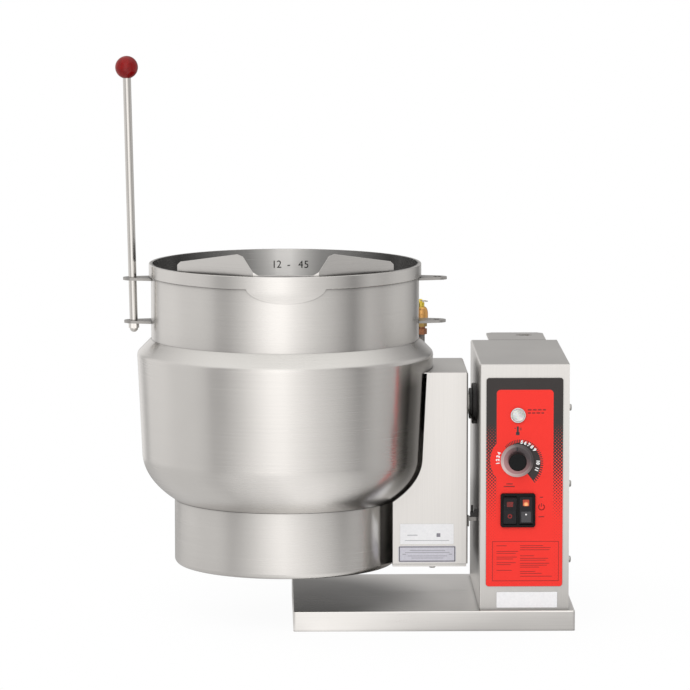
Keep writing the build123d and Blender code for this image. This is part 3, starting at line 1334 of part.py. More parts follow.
def rocker(side, tilt):
    """Rocker with a shallow V front and round ends, tilted about its pivot along X."""
    sweep = rocker_sweep()
    outline = make_face([
        *Polyline(
            (0, -sweep), (-ROCKER_BACK, ROCKER_BACK_INSET - sweep),
            (-ROCKER_BACK, sweep - ROCKER_BACK_INSET), (0, sweep),
        ).edges(),
        RadiusArc((0, sweep), (ROCKER_END_PROUD, ROCKER_HALF_HEIGHT), sweep),
        *Polyline(
            (ROCKER_END_PROUD, ROCKER_HALF_HEIGHT), (ROCKER_MID_PROUD, 0),
            (ROCKER_END_PROUD, -ROCKER_HALF_HEIGHT),
        ).edges(),
        RadiusArc((ROCKER_END_PROUD, -ROCKER_HALF_HEIGHT), (0, -sweep), sweep),
    ])
    section = Plane(origin=(0, 0, 0), x_dir=(0, -1, 0), z_dir=(-1, 0, 0))
    shape = extrude(section * outline, amount=ROCKER_WIDTH / 2, both=True)
    x = SWITCH_X + side * ROCKER_OFFSET
    return Pos(x, ROCKER_PIVOT_Y, SWITCH_Z) * Rot(tilt, 0, 0) * shape


def switch_body():
    """Moulded body of the twin switch, with its row of tabs behind."""
    y0 = BEZEL_FRONT + BEZEL_COLLAR
    half_x = BEZEL_WIDTH / 2 - SWITCH_BODY_INSET
    half_z = BEZEL_HEIGHT / 2 - SWITCH_BODY_INSET
    tab_x = SWITCH_TAB_THICKNESS / 2
    tab_z = SWITCH_TAB_HEIGHT / 2
    body = block(
        SWITCH_X - half_x, SWITCH_X + half_x, y0, y0 + SWITCH_BODY_DEPTH - BEZEL_COLLAR,
        SWITCH_Z - half_z, SWITCH_Z + half_z,
    )
    tabs = [
        block(x - tab_x, x + tab_x, y0, y0 + SWITCH_BODY_DEPTH, z - tab_z, z + tab_z)
        for x in (SWITCH_X - ROCKER_OFFSET, SWITCH_X + ROCKER_OFFSET)
        for z in (SWITCH_Z + row for row in SWITCH_TAB_ROWS)
    ]
    return body + tabs


def component_panel():
    """Inner mounting plate for the electrical parts, footed on the base."""
    x0, x1 = PANEL_LEFT, PANEL_LEFT + PANEL_WIDTH
    plate = block(x0, x1, PANEL_Y, PANEL_Y + CONSOLE_GAUGE, BASE_HEIGHT, PANEL_TOP_Z)
    return plate + block(
        x0, x1, PANEL_Y, PANEL_Y + PANEL_FOOT, BASE_HEIGHT, BASE_HEIGHT + CONSOLE_GAUGE
    )


def on_panel(x, z, size, back=0.0):
    """Box (width, height, depth) on the front of the component panel, or that far before it."""
    width, height, depth = size
    y1 = PANEL_Y - back
    return block(x - width / 2, x + width / 2, y1 - depth, y1, z - height / 2, z + height / 2)


def contactor():
    """Power contactor: stepped moulding with terminal screws in rows."""
    body = on_panel(PANEL_MIDDLE, CONTACTOR_Z, (CONTACTOR_WIDTH, CONTACTOR_HEIGHT, CONTACTOR_STEP_DEPTH))
    body += on_panel(PANEL_MIDDLE, CONTACTOR_Z, (CONTACTOR_WIDTH, CONTACTOR_STEP_HEIGHT, CONTACTOR_DEPTH))
    for dx in (-CONTACTOR_PITCH, 0, CONTACTOR_PITCH):
        for dz in (-CONTACTOR_ROW, CONTACTOR_ROW):
            screw = along_back(PANEL_MIDDLE + dx, PANEL_Y - CONTACTOR_STEP_DEPTH, CONTACTOR_Z + dz)
            body -= rod(screw, TERMINAL_SCREW / 2, TERMINAL_SCREW_DEPTH)
    return body


def transformer():
    """Control transformer: laminated core on feet, coil in the middle."""
    core = on_panel(PANEL_MIDDLE, TRANSFORMER_Z, CORE_SIZE)
    core += on_panel(PANEL_MIDDLE, TRANSFORMER_Z, CORE_FOOT_SIZE)
    return core + on_panel(PANEL_MIDDLE, TRANSFORMER_Z, COIL_SIZE)


def level_board():
    """Low-water control: board on standoffs with its relay."""
    board = on_panel(PANEL_MIDDLE, LEVEL_BOARD_Z, (BOARD_WIDTH, BOARD_HEIGHT, BOARD_THICKNESS), STANDOFF)
    reach_x = BOARD_WIDTH / 2 - STANDOFF_INSET
    reach_z = BOARD_HEIGHT / 2 - STANDOFF_INSET
    for dx in (-reach_x, reach_x):
        for dz in (-reach_z, reach_z):
            foot = along_back(PANEL_MIDDLE + dx, PANEL_Y - STANDOFF, LEVEL_BOARD_Z + dz)
            board += rod(foot, STANDOFF_DIAMETER / 2, STANDOFF)
    relay_size = (RELAY_WIDTH, RELAY_HEIGHT, RELAY_DEPTH)
    return board + on_panel(PANEL_MIDDLE, LEVEL_BOARD_Z, relay_size, STANDOFF + BOARD_THICKNESS)


def terminal_block():
    """Supply terminals: base rail with a step for each pole."""
    rail = on_panel(PANEL_MIDDLE, TERMINAL_Z, (TERMINAL_WIDTH, TERMINAL_HEIGHT, TERMINAL_BASE_DEPTH))
    pole = (TERMINAL_POLE_WIDTH, TERMINAL_POLE_HEIGHT, TERMINAL_POLE_DEPTH)
    front = PANEL_Y - TERMINAL_BASE_DEPTH - TERMINAL_POLE_DEPTH
    for x in (PANEL_MIDDLE - TERMINAL_PITCH, PANEL_MIDDLE, PANEL_MIDDLE + TERMINAL_PITCH):
        rail += on_panel(x, TERMINAL_Z, pole, TERMINAL_BASE_DEPTH)
        rail -= rod(along_back(x, front, TERMINAL_Z), TERMINAL_SCREW / 2, TERMINAL_SCREW_DEPTH)
    return rail


def conduit_hub():
    """Supply conduit hub in the back: flange outside, neck through the sheet, clear bore."""
    inner = CONSOLE_BACK + HUB_OUTSIDE - HUB_LENGTH
    neck = rod(along_back(HUB_X, inner, HUB_Z), HUB_NECK / 2, HUB_LENGTH)
    flange = rod(along_back(HUB_X, CONSOLE_BACK, HUB_Z), HUB_FLANGE / 2, HUB_OUTSIDE)
    flange = fillet(flange.faces().sort_by(Axis.Y)[-1].edges(), HUB_EDGE)
    return neck + flange - rod(along_back(HUB_X, inner, HUB_Z), HUB_BORE / 2, HUB_LENGTH)


CONSOLE = {
    "console_shell": console_shell(),
    "side_cover": side_cover(),
    "side_screws": Compound(side_screws()),
    "faucet_bracket": faucet_bracket(),
    "bearing_frame": bearing_frame(),
    "trunnion_bearings": Compound(trunnion_bearings()),
    "trunnion_seal": trunnion_seal(),
    "stop_bumper": stop_bumper(),
    "control_overlay": control_overlay(),
    "lamp_bezel": lamp_bezel(),
    "pilot_lamp": pilot_lamp(),
    "dial_skirt": dial_skirt(),
    "dial_knob": dial_knob(),
    "thermostat": thermostat(),
    "thermostat_shaft": thermostat_shaft(),
    "switch_bezel": switch_bezel(),
    "left_rocker": rocker(-1, ROCKER_TILT),
    "right_rocker": rocker(1, -ROCKER_TILT),
    "switch_body": switch_body(),
    "component_panel": component_panel(),
    "contactor": contactor(),
    "transformer": transformer(),
    "level_board": level_board(),
    "terminal_block": terminal_block(),
    "conduit_hub": conduit_hub(),
}

# --- Into the row's frame and out to files -----------------------------------------------------------

parts = {"base_pan": base_pan()}
for group in (VESSEL, SADDLE_GROUP, FITTINGS, CONSOLE):
    for name, shape in group.items():
        parts[name] = TO_ROW * shape

os.makedirs("parts", exist_ok=True)
for name, shape in parts.items():
    export_step(shape, f"parts/{name}.step")
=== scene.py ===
import math

import bpy
from mathutils import Matrix, Vector


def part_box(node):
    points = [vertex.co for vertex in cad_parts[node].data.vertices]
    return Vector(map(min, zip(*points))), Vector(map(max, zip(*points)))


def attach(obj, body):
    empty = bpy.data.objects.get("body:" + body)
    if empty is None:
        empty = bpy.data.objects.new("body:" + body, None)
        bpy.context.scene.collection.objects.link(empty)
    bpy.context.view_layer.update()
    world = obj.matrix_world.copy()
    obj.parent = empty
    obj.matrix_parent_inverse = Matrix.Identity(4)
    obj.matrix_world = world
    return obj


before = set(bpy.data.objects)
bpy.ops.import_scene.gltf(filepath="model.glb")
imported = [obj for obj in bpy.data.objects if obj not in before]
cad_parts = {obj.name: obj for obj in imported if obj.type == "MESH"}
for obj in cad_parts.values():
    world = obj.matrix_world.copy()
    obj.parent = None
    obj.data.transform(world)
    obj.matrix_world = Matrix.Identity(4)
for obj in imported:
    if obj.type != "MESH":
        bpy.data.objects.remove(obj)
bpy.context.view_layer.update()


# ---------------------------------------------------------------- camera
# A long lens a little above the rim, turned slightly towards the console, as far off as
# the front of the console and the inside of the bowl's back wall show together.
scene = bpy.context.scene
camera_data = bpy.data.cameras.new("camera")
camera_data.sensor_width = 36.0
camera_data.lens = 236.8
camera_data.clip_end = 60.0
camera = bpy.data.objects.new("camera", camera_data)
camera.location = (-0.2759, -7.176, 1.325)
camera.rotation_euler = (math.radians(90 - 7.093), 0, math.radians(-1.11))
scene.collection.objects.link(camera)
scene.camera = camera
scene.view_settings.view_transform = "Standard"


# ---------------------------------------------------------------- studio
# A white room whose walls give the steel upright soft bands: a wide softbox in front,
# broad fills at the left, a narrow dark flag at the right and a dimmer half behind.
def linear(hex_code):
    """Linear colour of an sRGB hex value."""
    parts = [int(hex_code[i : i + 2], 16) / 255 for i in (1, 3, 5)]
    return tuple(c / 12.92 if c <= 0.04045 else ((c + 0.055) / 1.055) ** 2.4 for c in parts) + (1.0,)


def node(tree, kind, inputs=None, **settings):
    """Adds a node with its settings; each input is given a value or the output that feeds it."""
    made = tree.nodes.new(kind)
    for name, value in settings.items():
        setattr(made, name, value)
    for socket, value in (inputs or {}).items():
        if isinstance(value, bpy.types.NodeSocket):
            tree.links.new(value, made.inputs[socket])
        else:
            made.inputs[socket].default_value = value
    return made


ROOM_TINT = (1.0, 0.980, 0.965)


def room_bands(tree, direction, stops):
    """Grey of the room round the horizon, from pairs of angle (0 in front, + to the right) and brightness."""
    split = node(tree, "ShaderNodeSeparateXYZ", {0: direction})
    toward = node(tree, "ShaderNodeMath", {0: split.outputs["Y"], 1: -1.0}, operation="MULTIPLY")
    angle = node(tree, "ShaderNodeMath", {0: split.outputs["X"], 1: toward.outputs[0]}, operation="ARCTAN2")
    turn = node(tree, "ShaderNodeMapRange", {"Value": angle.outputs[0], "From Min": -math.pi,
                "From Max": math.pi})
    ramp = node(tree, "ShaderNodeValToRGB", {"Fac": turn.outputs[0]})
    marks = ramp.color_ramp.elements
    marks[0].position, marks[1].position = 0.0, 1.0
    for degrees, _ in stops[1:-1]:
        marks.new(degrees / 360 + 0.5)
    for mark, (_, bright) in zip(marks, stops):
        mark.color = [bright * part for part in ROOM_TINT] + [1]
    return ramp.outputs[0]


WALLS = (
    (-180, 0.42), (-172, 0.80), (-166, 0.90), (-154, 0.74), (-145, 0.48), (-137, 0.80), (-112, 0.84),
    (-98, 0.76), (-76, 0.74), (-66, 0.66), (-60, 0.50), (-50, 0.50), (-36, 0.76), (-24, 1.08), (-12, 1.36),
    (-2, 1.40), (8, 1.12), (24, 0.80), (42, 0.60), (54, 0.40), (60, 0.28), (66, 0.42), (76, 0.60), (92, 0.50),
    (108, 0.62), (124, 0.60), (138, 0.44), (144, 0.36), (152, 0.18), (160, 0.36), (168, 0.52), (180, 0.42),
)
world = bpy.data.worlds.new("studio")
scene.world = world
world.use_nodes = True
tree = world.node_tree
tree.nodes.clear()
direction = node(tree, "ShaderNodeTexCoord").outputs["Generated"]
walls = room_bands(tree, direction, WALLS)
split = node(tree, "ShaderNodeSeparateXYZ", {0: direction})
height = node(tree, "ShaderNodeMapRange", {"Value": split.outputs["Z"], "From Min": 0.55, "From Max": 0.95},
              interpolation_type="SMOOTHSTEP")
CEILING = (1.06, 1.05, 1.03, 1)
room = node(tree, "ShaderNodeMix", {0: height.outputs[0], 6: walls, 7: CEILING}, data_type="RGBA")
# Matt surfaces see an even grey, and the lens sees plain white.
FILL = (0.74, 0.74, 0.74, 1)
path = node(tree, "ShaderNodeLightPath")
gloss = node(tree, "ShaderNodeMix", {0: path.outputs["Is Glossy Ray"], 6: FILL, 7: room.outputs[2]},
             data_type="RGBA")
to_lens = node(tree, "ShaderNodeMath", {0: path.outputs["Is Camera Ray"],
               1: path.outputs["Is Transmission Ray"]}, operation="MAXIMUM")
shown = node(tree, "ShaderNodeMix", {0: to_lens.outputs[0], 6: gloss.outputs[2], 7: (1, 1, 1, 1)},
             data_type="RGBA")
background = node(tree, "ShaderNodeBackground", {"Color": shown.outputs[2]})
node(tree, "ShaderNodeOutputWorld", {"Surface": background.outputs[0]})

# The floor is a round white table top that keeps a faint shadow close to the base and
# runs into the white room further out. Steel sees it in the room's bands, only weaker.
FLOOR_BANDS = (
    (-180, 0.30), (-150, 0.44), (-110, 0.66), (-70, 0.66), (-55, 0.58), (-30, 0.82), (-8, 1.06),
    (10, 0.98), (32, 0.76), (55, 0.50), (75, 0.46), (100, 0.34), (140, 0.24), (180, 0.30),
)
FLOOR_RADIUS = 1.4
FLOOR_PLACE = Vector((-0.1, 0, -0.0006))
SHADOW_NEAR = 0.26
SHADOW_FAR = 0.60
SHADOW_SHARE = 0.05
SHEEN_MIDDLE = Vector((-0.16, -0.04, 0))
bpy.ops.object.select_all(action="DESELECT")
bpy.ops.mesh.primitive_circle_add(vertices=128, radius=FLOOR_RADIUS, fill_type="NGON", location=FLOOR_PLACE)
floor = bpy.context.object
floor.name = "floor"
bpy.ops.object.transform_apply(location=True)
floor_paint = bpy.data.materials.new("matt_white_table")
floor_paint.use_nodes = True
tree = floor_paint.node_tree
tree.nodes.clear()
place = node(tree, "ShaderNodeTexCoord").outputs["Object"]
from_middle = node(tree, "ShaderNodeVectorMath", {0: place}, operation="LENGTH")
edge = node(tree, "ShaderNodeMapRange", {"Value": from_middle.outputs["Value"], "From Min": SHADOW_NEAR,
            "From Max": SHADOW_FAR, "To Min": 1 - SHADOW_SHARE, "To Max": 1.0},
            interpolation_type="SMOOTHSTEP")
matt = node(tree, "ShaderNodeBsdfDiffuse", {"Color": linear("#FAFAFA")})
glow = node(tree, "ShaderNodeEmission", {"Color": (1, 1, 1, 1)})
seen_floor = node(tree, "ShaderNodeMixShader", {0: edge.outputs[0], 1: matt.outputs[0], 2: glow.outputs[0]})
offset = node(tree, "ShaderNodeVectorMath", {0: place, 1: SHEEN_MIDDLE}, operation="SUBTRACT")
sheen = node(tree, "ShaderNodeEmission", {"Color": room_bands(tree, offset.outputs[0], FLOOR_BANDS)})
path = node(tree, "ShaderNodeLightPath")
other = node(tree, "ShaderNodeMixShader", {0: path.outputs["Is Glossy Ray"], 1: matt.outputs[0],
             2: sheen.outputs[0]})
whole = node(tree, "ShaderNodeMixShader", {0: path.outputs["Is Camera Ray"], 1: other.outputs[0],
             2: seen_floor.outputs[0]})
node(tree, "ShaderNodeOutputMaterial", {"Surface": whole.outputs[0]})
floor.data.materials.append(floor_paint)

# Two soft lamps aimed at the vessel: a wide one high in front, and a weaker one from the left.
LAMP_AIM = Vector((-0.1, 0, 0.35))
for name, spot, size, power in (
    ("key_lamp", (-0.5, -2.6, 2.6), 1.8, 40),
    ("left_lamp", (-2.6, -0.8, 1.6), 1.4, 14),
):
    lamp_data = bpy.data.lights.new(name, "AREA")
    lamp_data.size = size
    lamp_data.energy = power
    lamp = bpy.data.objects.new(name, lamp_data)
    lamp.location = spot
    lamp.rotation_euler = (LAMP_AIM - Vector(spot)).to_track_quat("-Z", "Y").to_euler()
    lamp.visible_glossy = False
    scene.collection.objects.link(lamp)


# ---------------------------------------------------------------- vessel
# Bowl, jacket, rim and skirt are 304 stainless sheet, spun and welded, then brushed
# round the axis with a fine belt. The belt leaves hair-fine level lines, which spread
# every reflection up and down into upright bands.
def new_finish(name, **shader_values):
    """A new material with some of its shader's sockets set, its node tree, and the object's coordinates."""
    material = bpy.data.materials.new(name)
    material.use_nodes = True
    tree = material.node_tree
    shader = tree.nodes["Principled BSDF"]
    for socket, value in shader_values.items():
        shader.inputs[socket.replace("_", " ")].default_value = value
    return material, tree, node(tree, "ShaderNodeTexCoord").outputs["Object"]


def feed(tree, **outputs):
    """Feeds sockets of a finish's shader from other nodes' outputs."""
    shader = tree.nodes["Principled BSDF"]
    for socket, output in outputs.items():
        tree.links.new(output, shader.inputs[socket.replace("_", " ")])


def dress(material, *names):
    """Gives CAD nodes their finish."""
    for name in names:
        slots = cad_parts[name].data.materials
        slots.clear()
        slots.append(material)


VESSEL_AXIS = Vector((-0.2324, -0.036, 0))


def level_reach(tree, place, axis):
    """Distance from an upright line through that point."""
    from_axis = node(tree, "ShaderNodeVectorMath", {0: place, 1: axis}, operation="SUBTRACT")
    level_part = node(tree, "ShaderNodeVectorMath", {0: from_axis.outputs[0], 1: (1, 1, 0)},
                      operation="MULTIPLY")
    return node(tree, "ShaderNodeVectorMath", {0: level_part.outputs[0]}, operation="LENGTH").outputs["Value"]


def beside_spout(tree, place):
    """Distance to either side of the vessel's middle, where the spout is."""
    from_axis = node(tree, "ShaderNodeVectorMath", {0: place, 1: VESSEL_AXIS}, operation="SUBTRACT")
    split = node(tree, "ShaderNodeSeparateXYZ", {0: from_axis.outputs[0]})
    return node(tree, "ShaderNodeMath", {0: split.outputs["X"]}, operation="ABSOLUTE").outputs[0]


# Reach and depth of the painted shade in creases, and where it fades out beside the spout.
CREASE = 0.005
CREASE_SHADE = 0.45
SPOUT_HALF = 0.060
SPOUT_BLEND = 0.085


def brushed_steel(name, hex_code, lines, rough, spread, depth, cleft, darkest_shade, round_axis=False, spout=False):
    """Satin stainless; lines are the brush marks per metre along X, Y and Z.

    The spread is how far they smear a highlight. Where another sheet stands closer than
    the cleft, painted shade darkens the colour towards darkest_shade, for that sheet's unlit
    side mirrored in the steel. Creases hold a thin line of painted shade, but not under the
    soft pouring spout. Round the axis the marks run level."""
    material, tree, place = new_finish(name, Metallic=1.0, Anisotropic=spread)
    stretched = node(tree, "ShaderNodeMapping", {"Vector": place, "Scale": lines})
    grain = node(tree, "ShaderNodeTexNoise", {"Vector": stretched.outputs[0], "Scale": 1.0, "Detail": 3.0,
                 "Roughness": 0.6})
    cloud = node(tree, "ShaderNodeTexNoise", {"Vector": place, "Scale": 7.0, "Detail": 3.0})
    both = node(tree, "ShaderNodeMath", {0: grain.outputs["Fac"], 1: cloud.outputs["Fac"]}, operation="ADD")
    tone = node(tree, "ShaderNodeMapRange", {"Value": both.outputs[0], "From Min": 0.7, "From Max": 1.3,
                "To Min": 0.955, "To Max": 1.03})
    steel = node(tree, "ShaderNodeMix", {0: 1.0, 6: linear(hex_code), 7: tone.outputs[0]}, data_type="RGBA",
                 blend_type="MULTIPLY")
    # Painted shade: darker where other sheets stand near, and a thin dark line in creases.
    nearby = node(tree, "ShaderNodeAmbientOcclusion", {"Distance": cleft}, samples=6)
    shade = node(tree, "ShaderNodeMapRange", {"Value": nearby.outputs["AO"], "From Min": 0.35,
                 "From Max": 0.92, "To Min": darkest_shade, "To Max": 1.0})
    crease = node(tree, "ShaderNodeAmbientOcclusion", {"Distance": CREASE}, samples=4)
    line = node(tree, "ShaderNodeMapRange", {"Value": crease.outputs["AO"], "From Min": 0.45, "From Max": 0.9,
                "To Min": CREASE_SHADE, "To Max": 1.0})
    if spout:
        soft = node(tree, "ShaderNodeMapRange", {"Value": beside_spout(tree, place), "From Min": SPOUT_HALF,
                    "From Max": SPOUT_BLEND, "To Min": 1.0, "To Max": CREASE_SHADE})
        tree.links.new(soft.outputs[0], line.inputs["To Min"])
    dark = node(tree, "ShaderNodeMath", {0: shade.outputs[0], 1: line.outputs[0]}, operation="MULTIPLY")
    colour = node(tree, "ShaderNodeMix", {0: 1.0, 6: steel.outputs[2], 7: dark.outputs[0]}, data_type="RGBA",
                  blend_type="MULTIPLY")
    feed(tree, Base_Color=colour.outputs[2])
    roughness = node(tree, "ShaderNodeMapRange", {"Value": both.outputs[0], "From Min": 0.7, "From Max": 1.3,
                     "To Min": rough - 0.03, "To Max": rough + 0.03})
    feed(tree, Roughness=roughness.outputs[0])
    bump = node(tree, "ShaderNodeBump", {"Strength": depth, "Distance": 0.00002,
                "Height": grain.outputs["Fac"]})
    feed(tree, Normal=bump.outputs[0])
    if round_axis:
        up = node(tree, "ShaderNodeCombineXYZ", {"Z": 1.0})
        feed(tree, Tangent=up.outputs[0])
    return material


# Fine belt marks round the vessel, a little cloudy, with painted shade in the clefts. They are drawn
# about a millimetre apart, since the real ones are too fine to show.
BELT = {"hex_code": "#E2E0DD", "lines": (5, 5, 1100), "rough": 0.25, "spread": 0.8, "depth": 0.12,
        "round_axis": True}
belt_brushed = brushed_steel("belt_brushed_304_round", cleft=0.12, darkest_shade=0.50, spout=True, **BELT)
dress(belt_brushed, "rim_band", "skirt")


def paint_light_and_shade(material, factor):
    """Multiplies a steel's colour by one more factor, which paints light or shade into it."""
    tree = material.node_tree
    socket = tree.nodes["Principled BSDF"].inputs["Base Color"]
    mixed = node(tree, "ShaderNodeMix", {0: 1.0, 6: socket.links[0].from_socket, 7: factor}, data_type="RGBA",
                 blend_type="MULTIPLY")
    tree.links.new(mixed.outputs[2], socket)


# The jacket has the same brushing. Its flank beside the housing gets a painted reflection of
# the console's unlit side: below the shoulder its colour falls off to dark grey there.
FLANK_EDGE = (-0.034, -0.164, 0.0)
FLANK_DARK = 0.006
FLANK_LIGHT = 0.052
SHOULDER_LOW = 0.385
SHOULDER_HIGH = 0.425
jacket_steel = brushed_steel("belt_brushed_304_jacket", cleft=0.12, darkest_shade=0.60, **BELT)
tree = jacket_steel.node_tree
place = node(tree, "ShaderNodeTexCoord").outputs["Object"]
painted_flank_shade = node(tree, "ShaderNodeMapRange", {"Value": level_reach(tree, place, FLANK_EDGE),
             "From Min": FLANK_DARK, "From Max": FLANK_LIGHT, "To Min": 0.28, "To Max": 1.0},
             interpolation_type="SMOOTHSTEP")
split = node(tree, "ShaderNodeSeparateXYZ", {0: place})
flank_shade_below_shoulder = node(tree, "ShaderNodeMapRange", {"Value": split.outputs["Z"], "From Min": SHOULDER_LOW,
             "From Max": SHOULDER_HIGH, "To Min": painted_flank_shade.outputs[0], "To Max": 1.0})
paint_light_and_shade(jacket_steel, flank_shade_below_shoulder.outputs[0])
dress(jacket_steel, "jacket")

# The bowl's outside is belt brushed like the rest. Its food side is polished one step finer.
# Inside, light is painted into its colour: a painted highlight bright at the back and painted
# shade dark in the ends by the dam; it is also made less metallic there.
WALL_MIDDLE = 0.2110
GLARE_HALF = 0.012
GLARE_FADED = 0.060
END_NEAR = 0.01
END_FAR = 0.17
bowl_steel = brushed_steel("brushed_304_bowl", cleft=0.06, darkest_shade=0.30, spout=True, **BELT)
tree = bowl_steel.node_tree
place = node(tree, "ShaderNodeTexCoord").outputs["Object"]
inside = node(tree, "ShaderNodeMath", {0: level_reach(tree, place, VESSEL_AXIS), 1: WALL_MIDDLE},
              operation="LESS_THAN")
aside = beside_spout(tree, place)
painted_end_shade = node(tree, "ShaderNodeMapRange", {"Value": aside, "From Min": END_NEAR, "From Max": END_FAR,
            "To Min": 1.3, "To Max": 0.12})
painted_back_highlight = node(tree, "ShaderNodeMapRange", {"Value": aside, "From Min": GLARE_HALF, "From Max": GLARE_FADED,
             "To Min": 1.0, "To Max": 0.58})
painted_light_across = node(tree, "ShaderNodeMath", {0: painted_end_shade.outputs[0], 1: painted_back_highlight.outputs[0]}, operation="MULTIPLY")
painted_light_inside = node(tree, "ShaderNodeMapRange", {"Value": inside.outputs[0], "To Min": 1.0,
              "To Max": painted_light_across.outputs[0]})
paint_light_and_shade(bowl_steel, painted_light_inside.outputs[0])
lit = node(tree, "ShaderNodeMapRange", {"Value": inside.outputs[0], "To Min": 1.0, "To Max": 0.3})
feed(tree, Metallic=lit.outputs[0])
dress(bowl_steel, "bowl")
# The skirt's cover is flat sheet with straight, coarser marks.
level_brushed = brushed_steel("brushed_304_skirt_cover", "#CFCDC9", lines=(8, 700, 700), rough=0.32,
                              spread=0.3, depth=0.15, cleft=0.10, darkest_shade=0.3)
dress(level_brushed, "skirt_cover")


def two_tone(tree, pattern, dark, light, smooth, rough):
    """Colours a finish between two tones by a pattern, which also runs its roughness from smooth to rough."""
    tint = node(tree, "ShaderNodeMix", {0: pattern, 6: linear(dark), 7: linear(light)}, data_type="RGBA")
    dull = node(tree, "ShaderNodeMapRange", {"Value": pattern, "To Min": smooth, "To Max": rough})
    feed(tree, Base_Color=tint.outputs[2], Roughness=dull.outputs[0])


MM = 0.001


def mottled(name, dark, light, smooth, rough, scale, detail=3, raised=None, **shader_values):
    """A finish in two tones, mottled by noise of that scale.

    Raised gives the strength and the height in millimetres by which the grains stand out."""
    material, tree, place = new_finish(name, **shader_values)
    grains = node(tree, "ShaderNodeTexNoise", {"Vector": place, "Scale": scale, "Detail": detail})
    two_tone(tree, grains.outputs["Fac"], dark, light, smooth, rough)
    if raised:
        bump = node(tree, "ShaderNodeBump", {"Strength": raised[0], "Distance": raised[1] * MM,
                    "Height": grains.outputs["Fac"]})
        feed(tree, Normal=bump.outputs[0])
    return material


# The elements' tube is a nickel alloy that has gone brown-grey from heat.
element_tube = mottled("heat_tinted_alloy_tube", "#5F5650", "#A09488", 0.38, 0.55, scale=90.0, detail=4,
                       Metallic=1.0)
dress(element_tube, "heating_elements")

# Two capacity figures are stamped in the bowl's back wall, just over the dam's notch.
STAMP_RADIUS = 0.2094
STAMP_TALL = 0.0120
STAMP_Z = 0.5425
TYPE_CAP_SHARE = 0.70


def lettering(name, text, tall, thicken, turn, material, body):
    """Flat figures of that height, their type thickened, laid by the matrix and fixed to a body."""
    bpy.ops.object.select_all(action="DESELECT")
    bpy.ops.object.text_add()
    figures = bpy.context.object
    figures.name = name
    figures.data.body = text
    figures.data.size = tall / TYPE_CAP_SHARE
    figures.data.offset = thicken
    figures.data.align_x = "CENTER"
    figures.data.align_y = "CENTER"
    bpy.ops.object.convert(target="MESH")
    figures = bpy.context.object
    figures.data.transform(turn)
    figures.data.materials.clear()
    figures.data.materials.append(material)
    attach(figures, body)


# Struck figures are flat dark shapes with a burred grain: painted shade for the recesses of the stamping.
stamp_shadow = mottled("stamped_figure_painted_shade", "#1E1C1B", "#45433F", 0.45, 0.65, scale=1500.0, Metallic=1.0)
UPRIGHT = Matrix.Rotation(math.radians(90), 4, "X")
for index, (figure, degrees) in enumerate((("1", -4.5), ("2", -2.3), ("-", 2.0), ("4", 7.4), ("5", 9.9))):
    turn = math.radians(degrees)
    spot = VESSEL_AXIS + Vector((STAMP_RADIUS * math.sin(turn), STAMP_RADIUS * math.cos(turn), STAMP_Z))
    lay = Matrix.Translation(spot) @ Matrix.Rotation(-turn, 4, "Z") @ UPRIGHT
    lettering(f"capacity_figure_{index}", figure, STAMP_TALL, 0.0, lay, stamp_shadow, "kettle")


# ---------------------------------------------------------------- dam, ears and lever
# The pouring dam and the four ears are cut from brushed 304 sheet, the ears welded on.
# The tilting lever is a polished round bar held by an acorn nut in the left ears, with
# a turned phenolic ball screwed on its top.
dam_brushed = brushed_steel("brushed_304_dam", "#EFEDEA", lines=(8, 8, 900), rough=0.30, spread=0.4,
                            depth=0.1, cleft=0.03, darkest_shade=0.8)
dress(dam_brushed, "pour_dam")
ear_steel = brushed_steel("sheared_304_ears", "#B9B7B4", lines=(500, 30, 500), rough=0.34, spread=0.2,
                          depth=0.15, cleft=0.03, darkest_shade=0.5)
dress(ear_steel, "stop_tab", "upper_handle_tabs", "lower_handle_tabs")

# Polished bar stock: drawn lines along its length and a few darker handling marks.
bar_steel, tree, place = new_finish("polished_304_bar", Metallic=1.0, Anisotropic=0.4)
drawn = node(tree, "ShaderNodeMapping", {"Vector": place, "Scale": (900, 900, 12)})
lines = node(tree, "ShaderNodeTexNoise", {"Vector": drawn.outputs[0], "Scale": 1.0, "Detail": 2.0})
tint = node(tree, "ShaderNodeMix", {0: lines.outputs["Fac"], 6: linear("#CFCCC8"), 7: linear("#F0EEEA")},
            data_type="RGBA")
feed(tree, Base_Color=tint.outputs[2])
smear = node(tree, "ShaderNodeTexNoise", {"Vector": place, "Scale": 45.0, "Detail": 3.0})
polish = node(tree, "ShaderNodeMapRange", {"Value": smear.outputs["Fac"], "To Min": 0.12, "To Max": 0.22})
feed(tree, Roughness=polish.outputs[0])
dress(bar_steel, "lever_rod", "lever_nut")

# Cast phenolic: deep red with faint flow swirls under a buffed, slightly rubbed gloss.
red_ball, tree, place = new_finish("cast_phenolic_red", Specular_IOR_Level=0.3)
swirl = node(tree, "ShaderNodeTexNoise", {"Vector": place, "Scale": 55.0, "Detail": 4.0,
             "Distortion": 1.4})
two_tone(tree, swirl.outputs["Fac"], "#5E0A0C", "#9A1413", 0.06, 0.14)
dress(red_ball, "lever_knob")


# ---------------------------------------------------------------- pivot housing
# A box of 1.5 mm brushed 304 welded to the jacket's side carries the kettle on its
# trunnion and covers the element leads. Its bottom cover is held by pan screws. Two
# thin plates are stuck low on its front: a white one, and a grey one with a black frame.
housing_steel = brushed_steel("brushed_304_housing", "#E6E4E1", lines=(700, 700, 8), rough=0.34, spread=0.3,
                              depth=0.12, cleft=0.05, darkest_shade=0.75)
dress(housing_steel, "pivot_housing", "housing_cover")

# Zinc-flashed screws with turned heads.
screw_steel = mottled("bright_screw_steel", "#A3A19E", "#D2D0CC", 0.22, 0.36, scale=700.0, detail=2,
                      Metallic=1.0)
dress(screw_steel, "housing_screws", "side_screws", "trunnion_bolts")


def finish_piece(piece, name, material, body):
    """Names a finished piece, gives it its material and fixes it to its body."""
    piece.name = name
    piece.data.name = name
    piece.data.materials.clear()
    piece.data.materials.append(material)
    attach(piece, body)


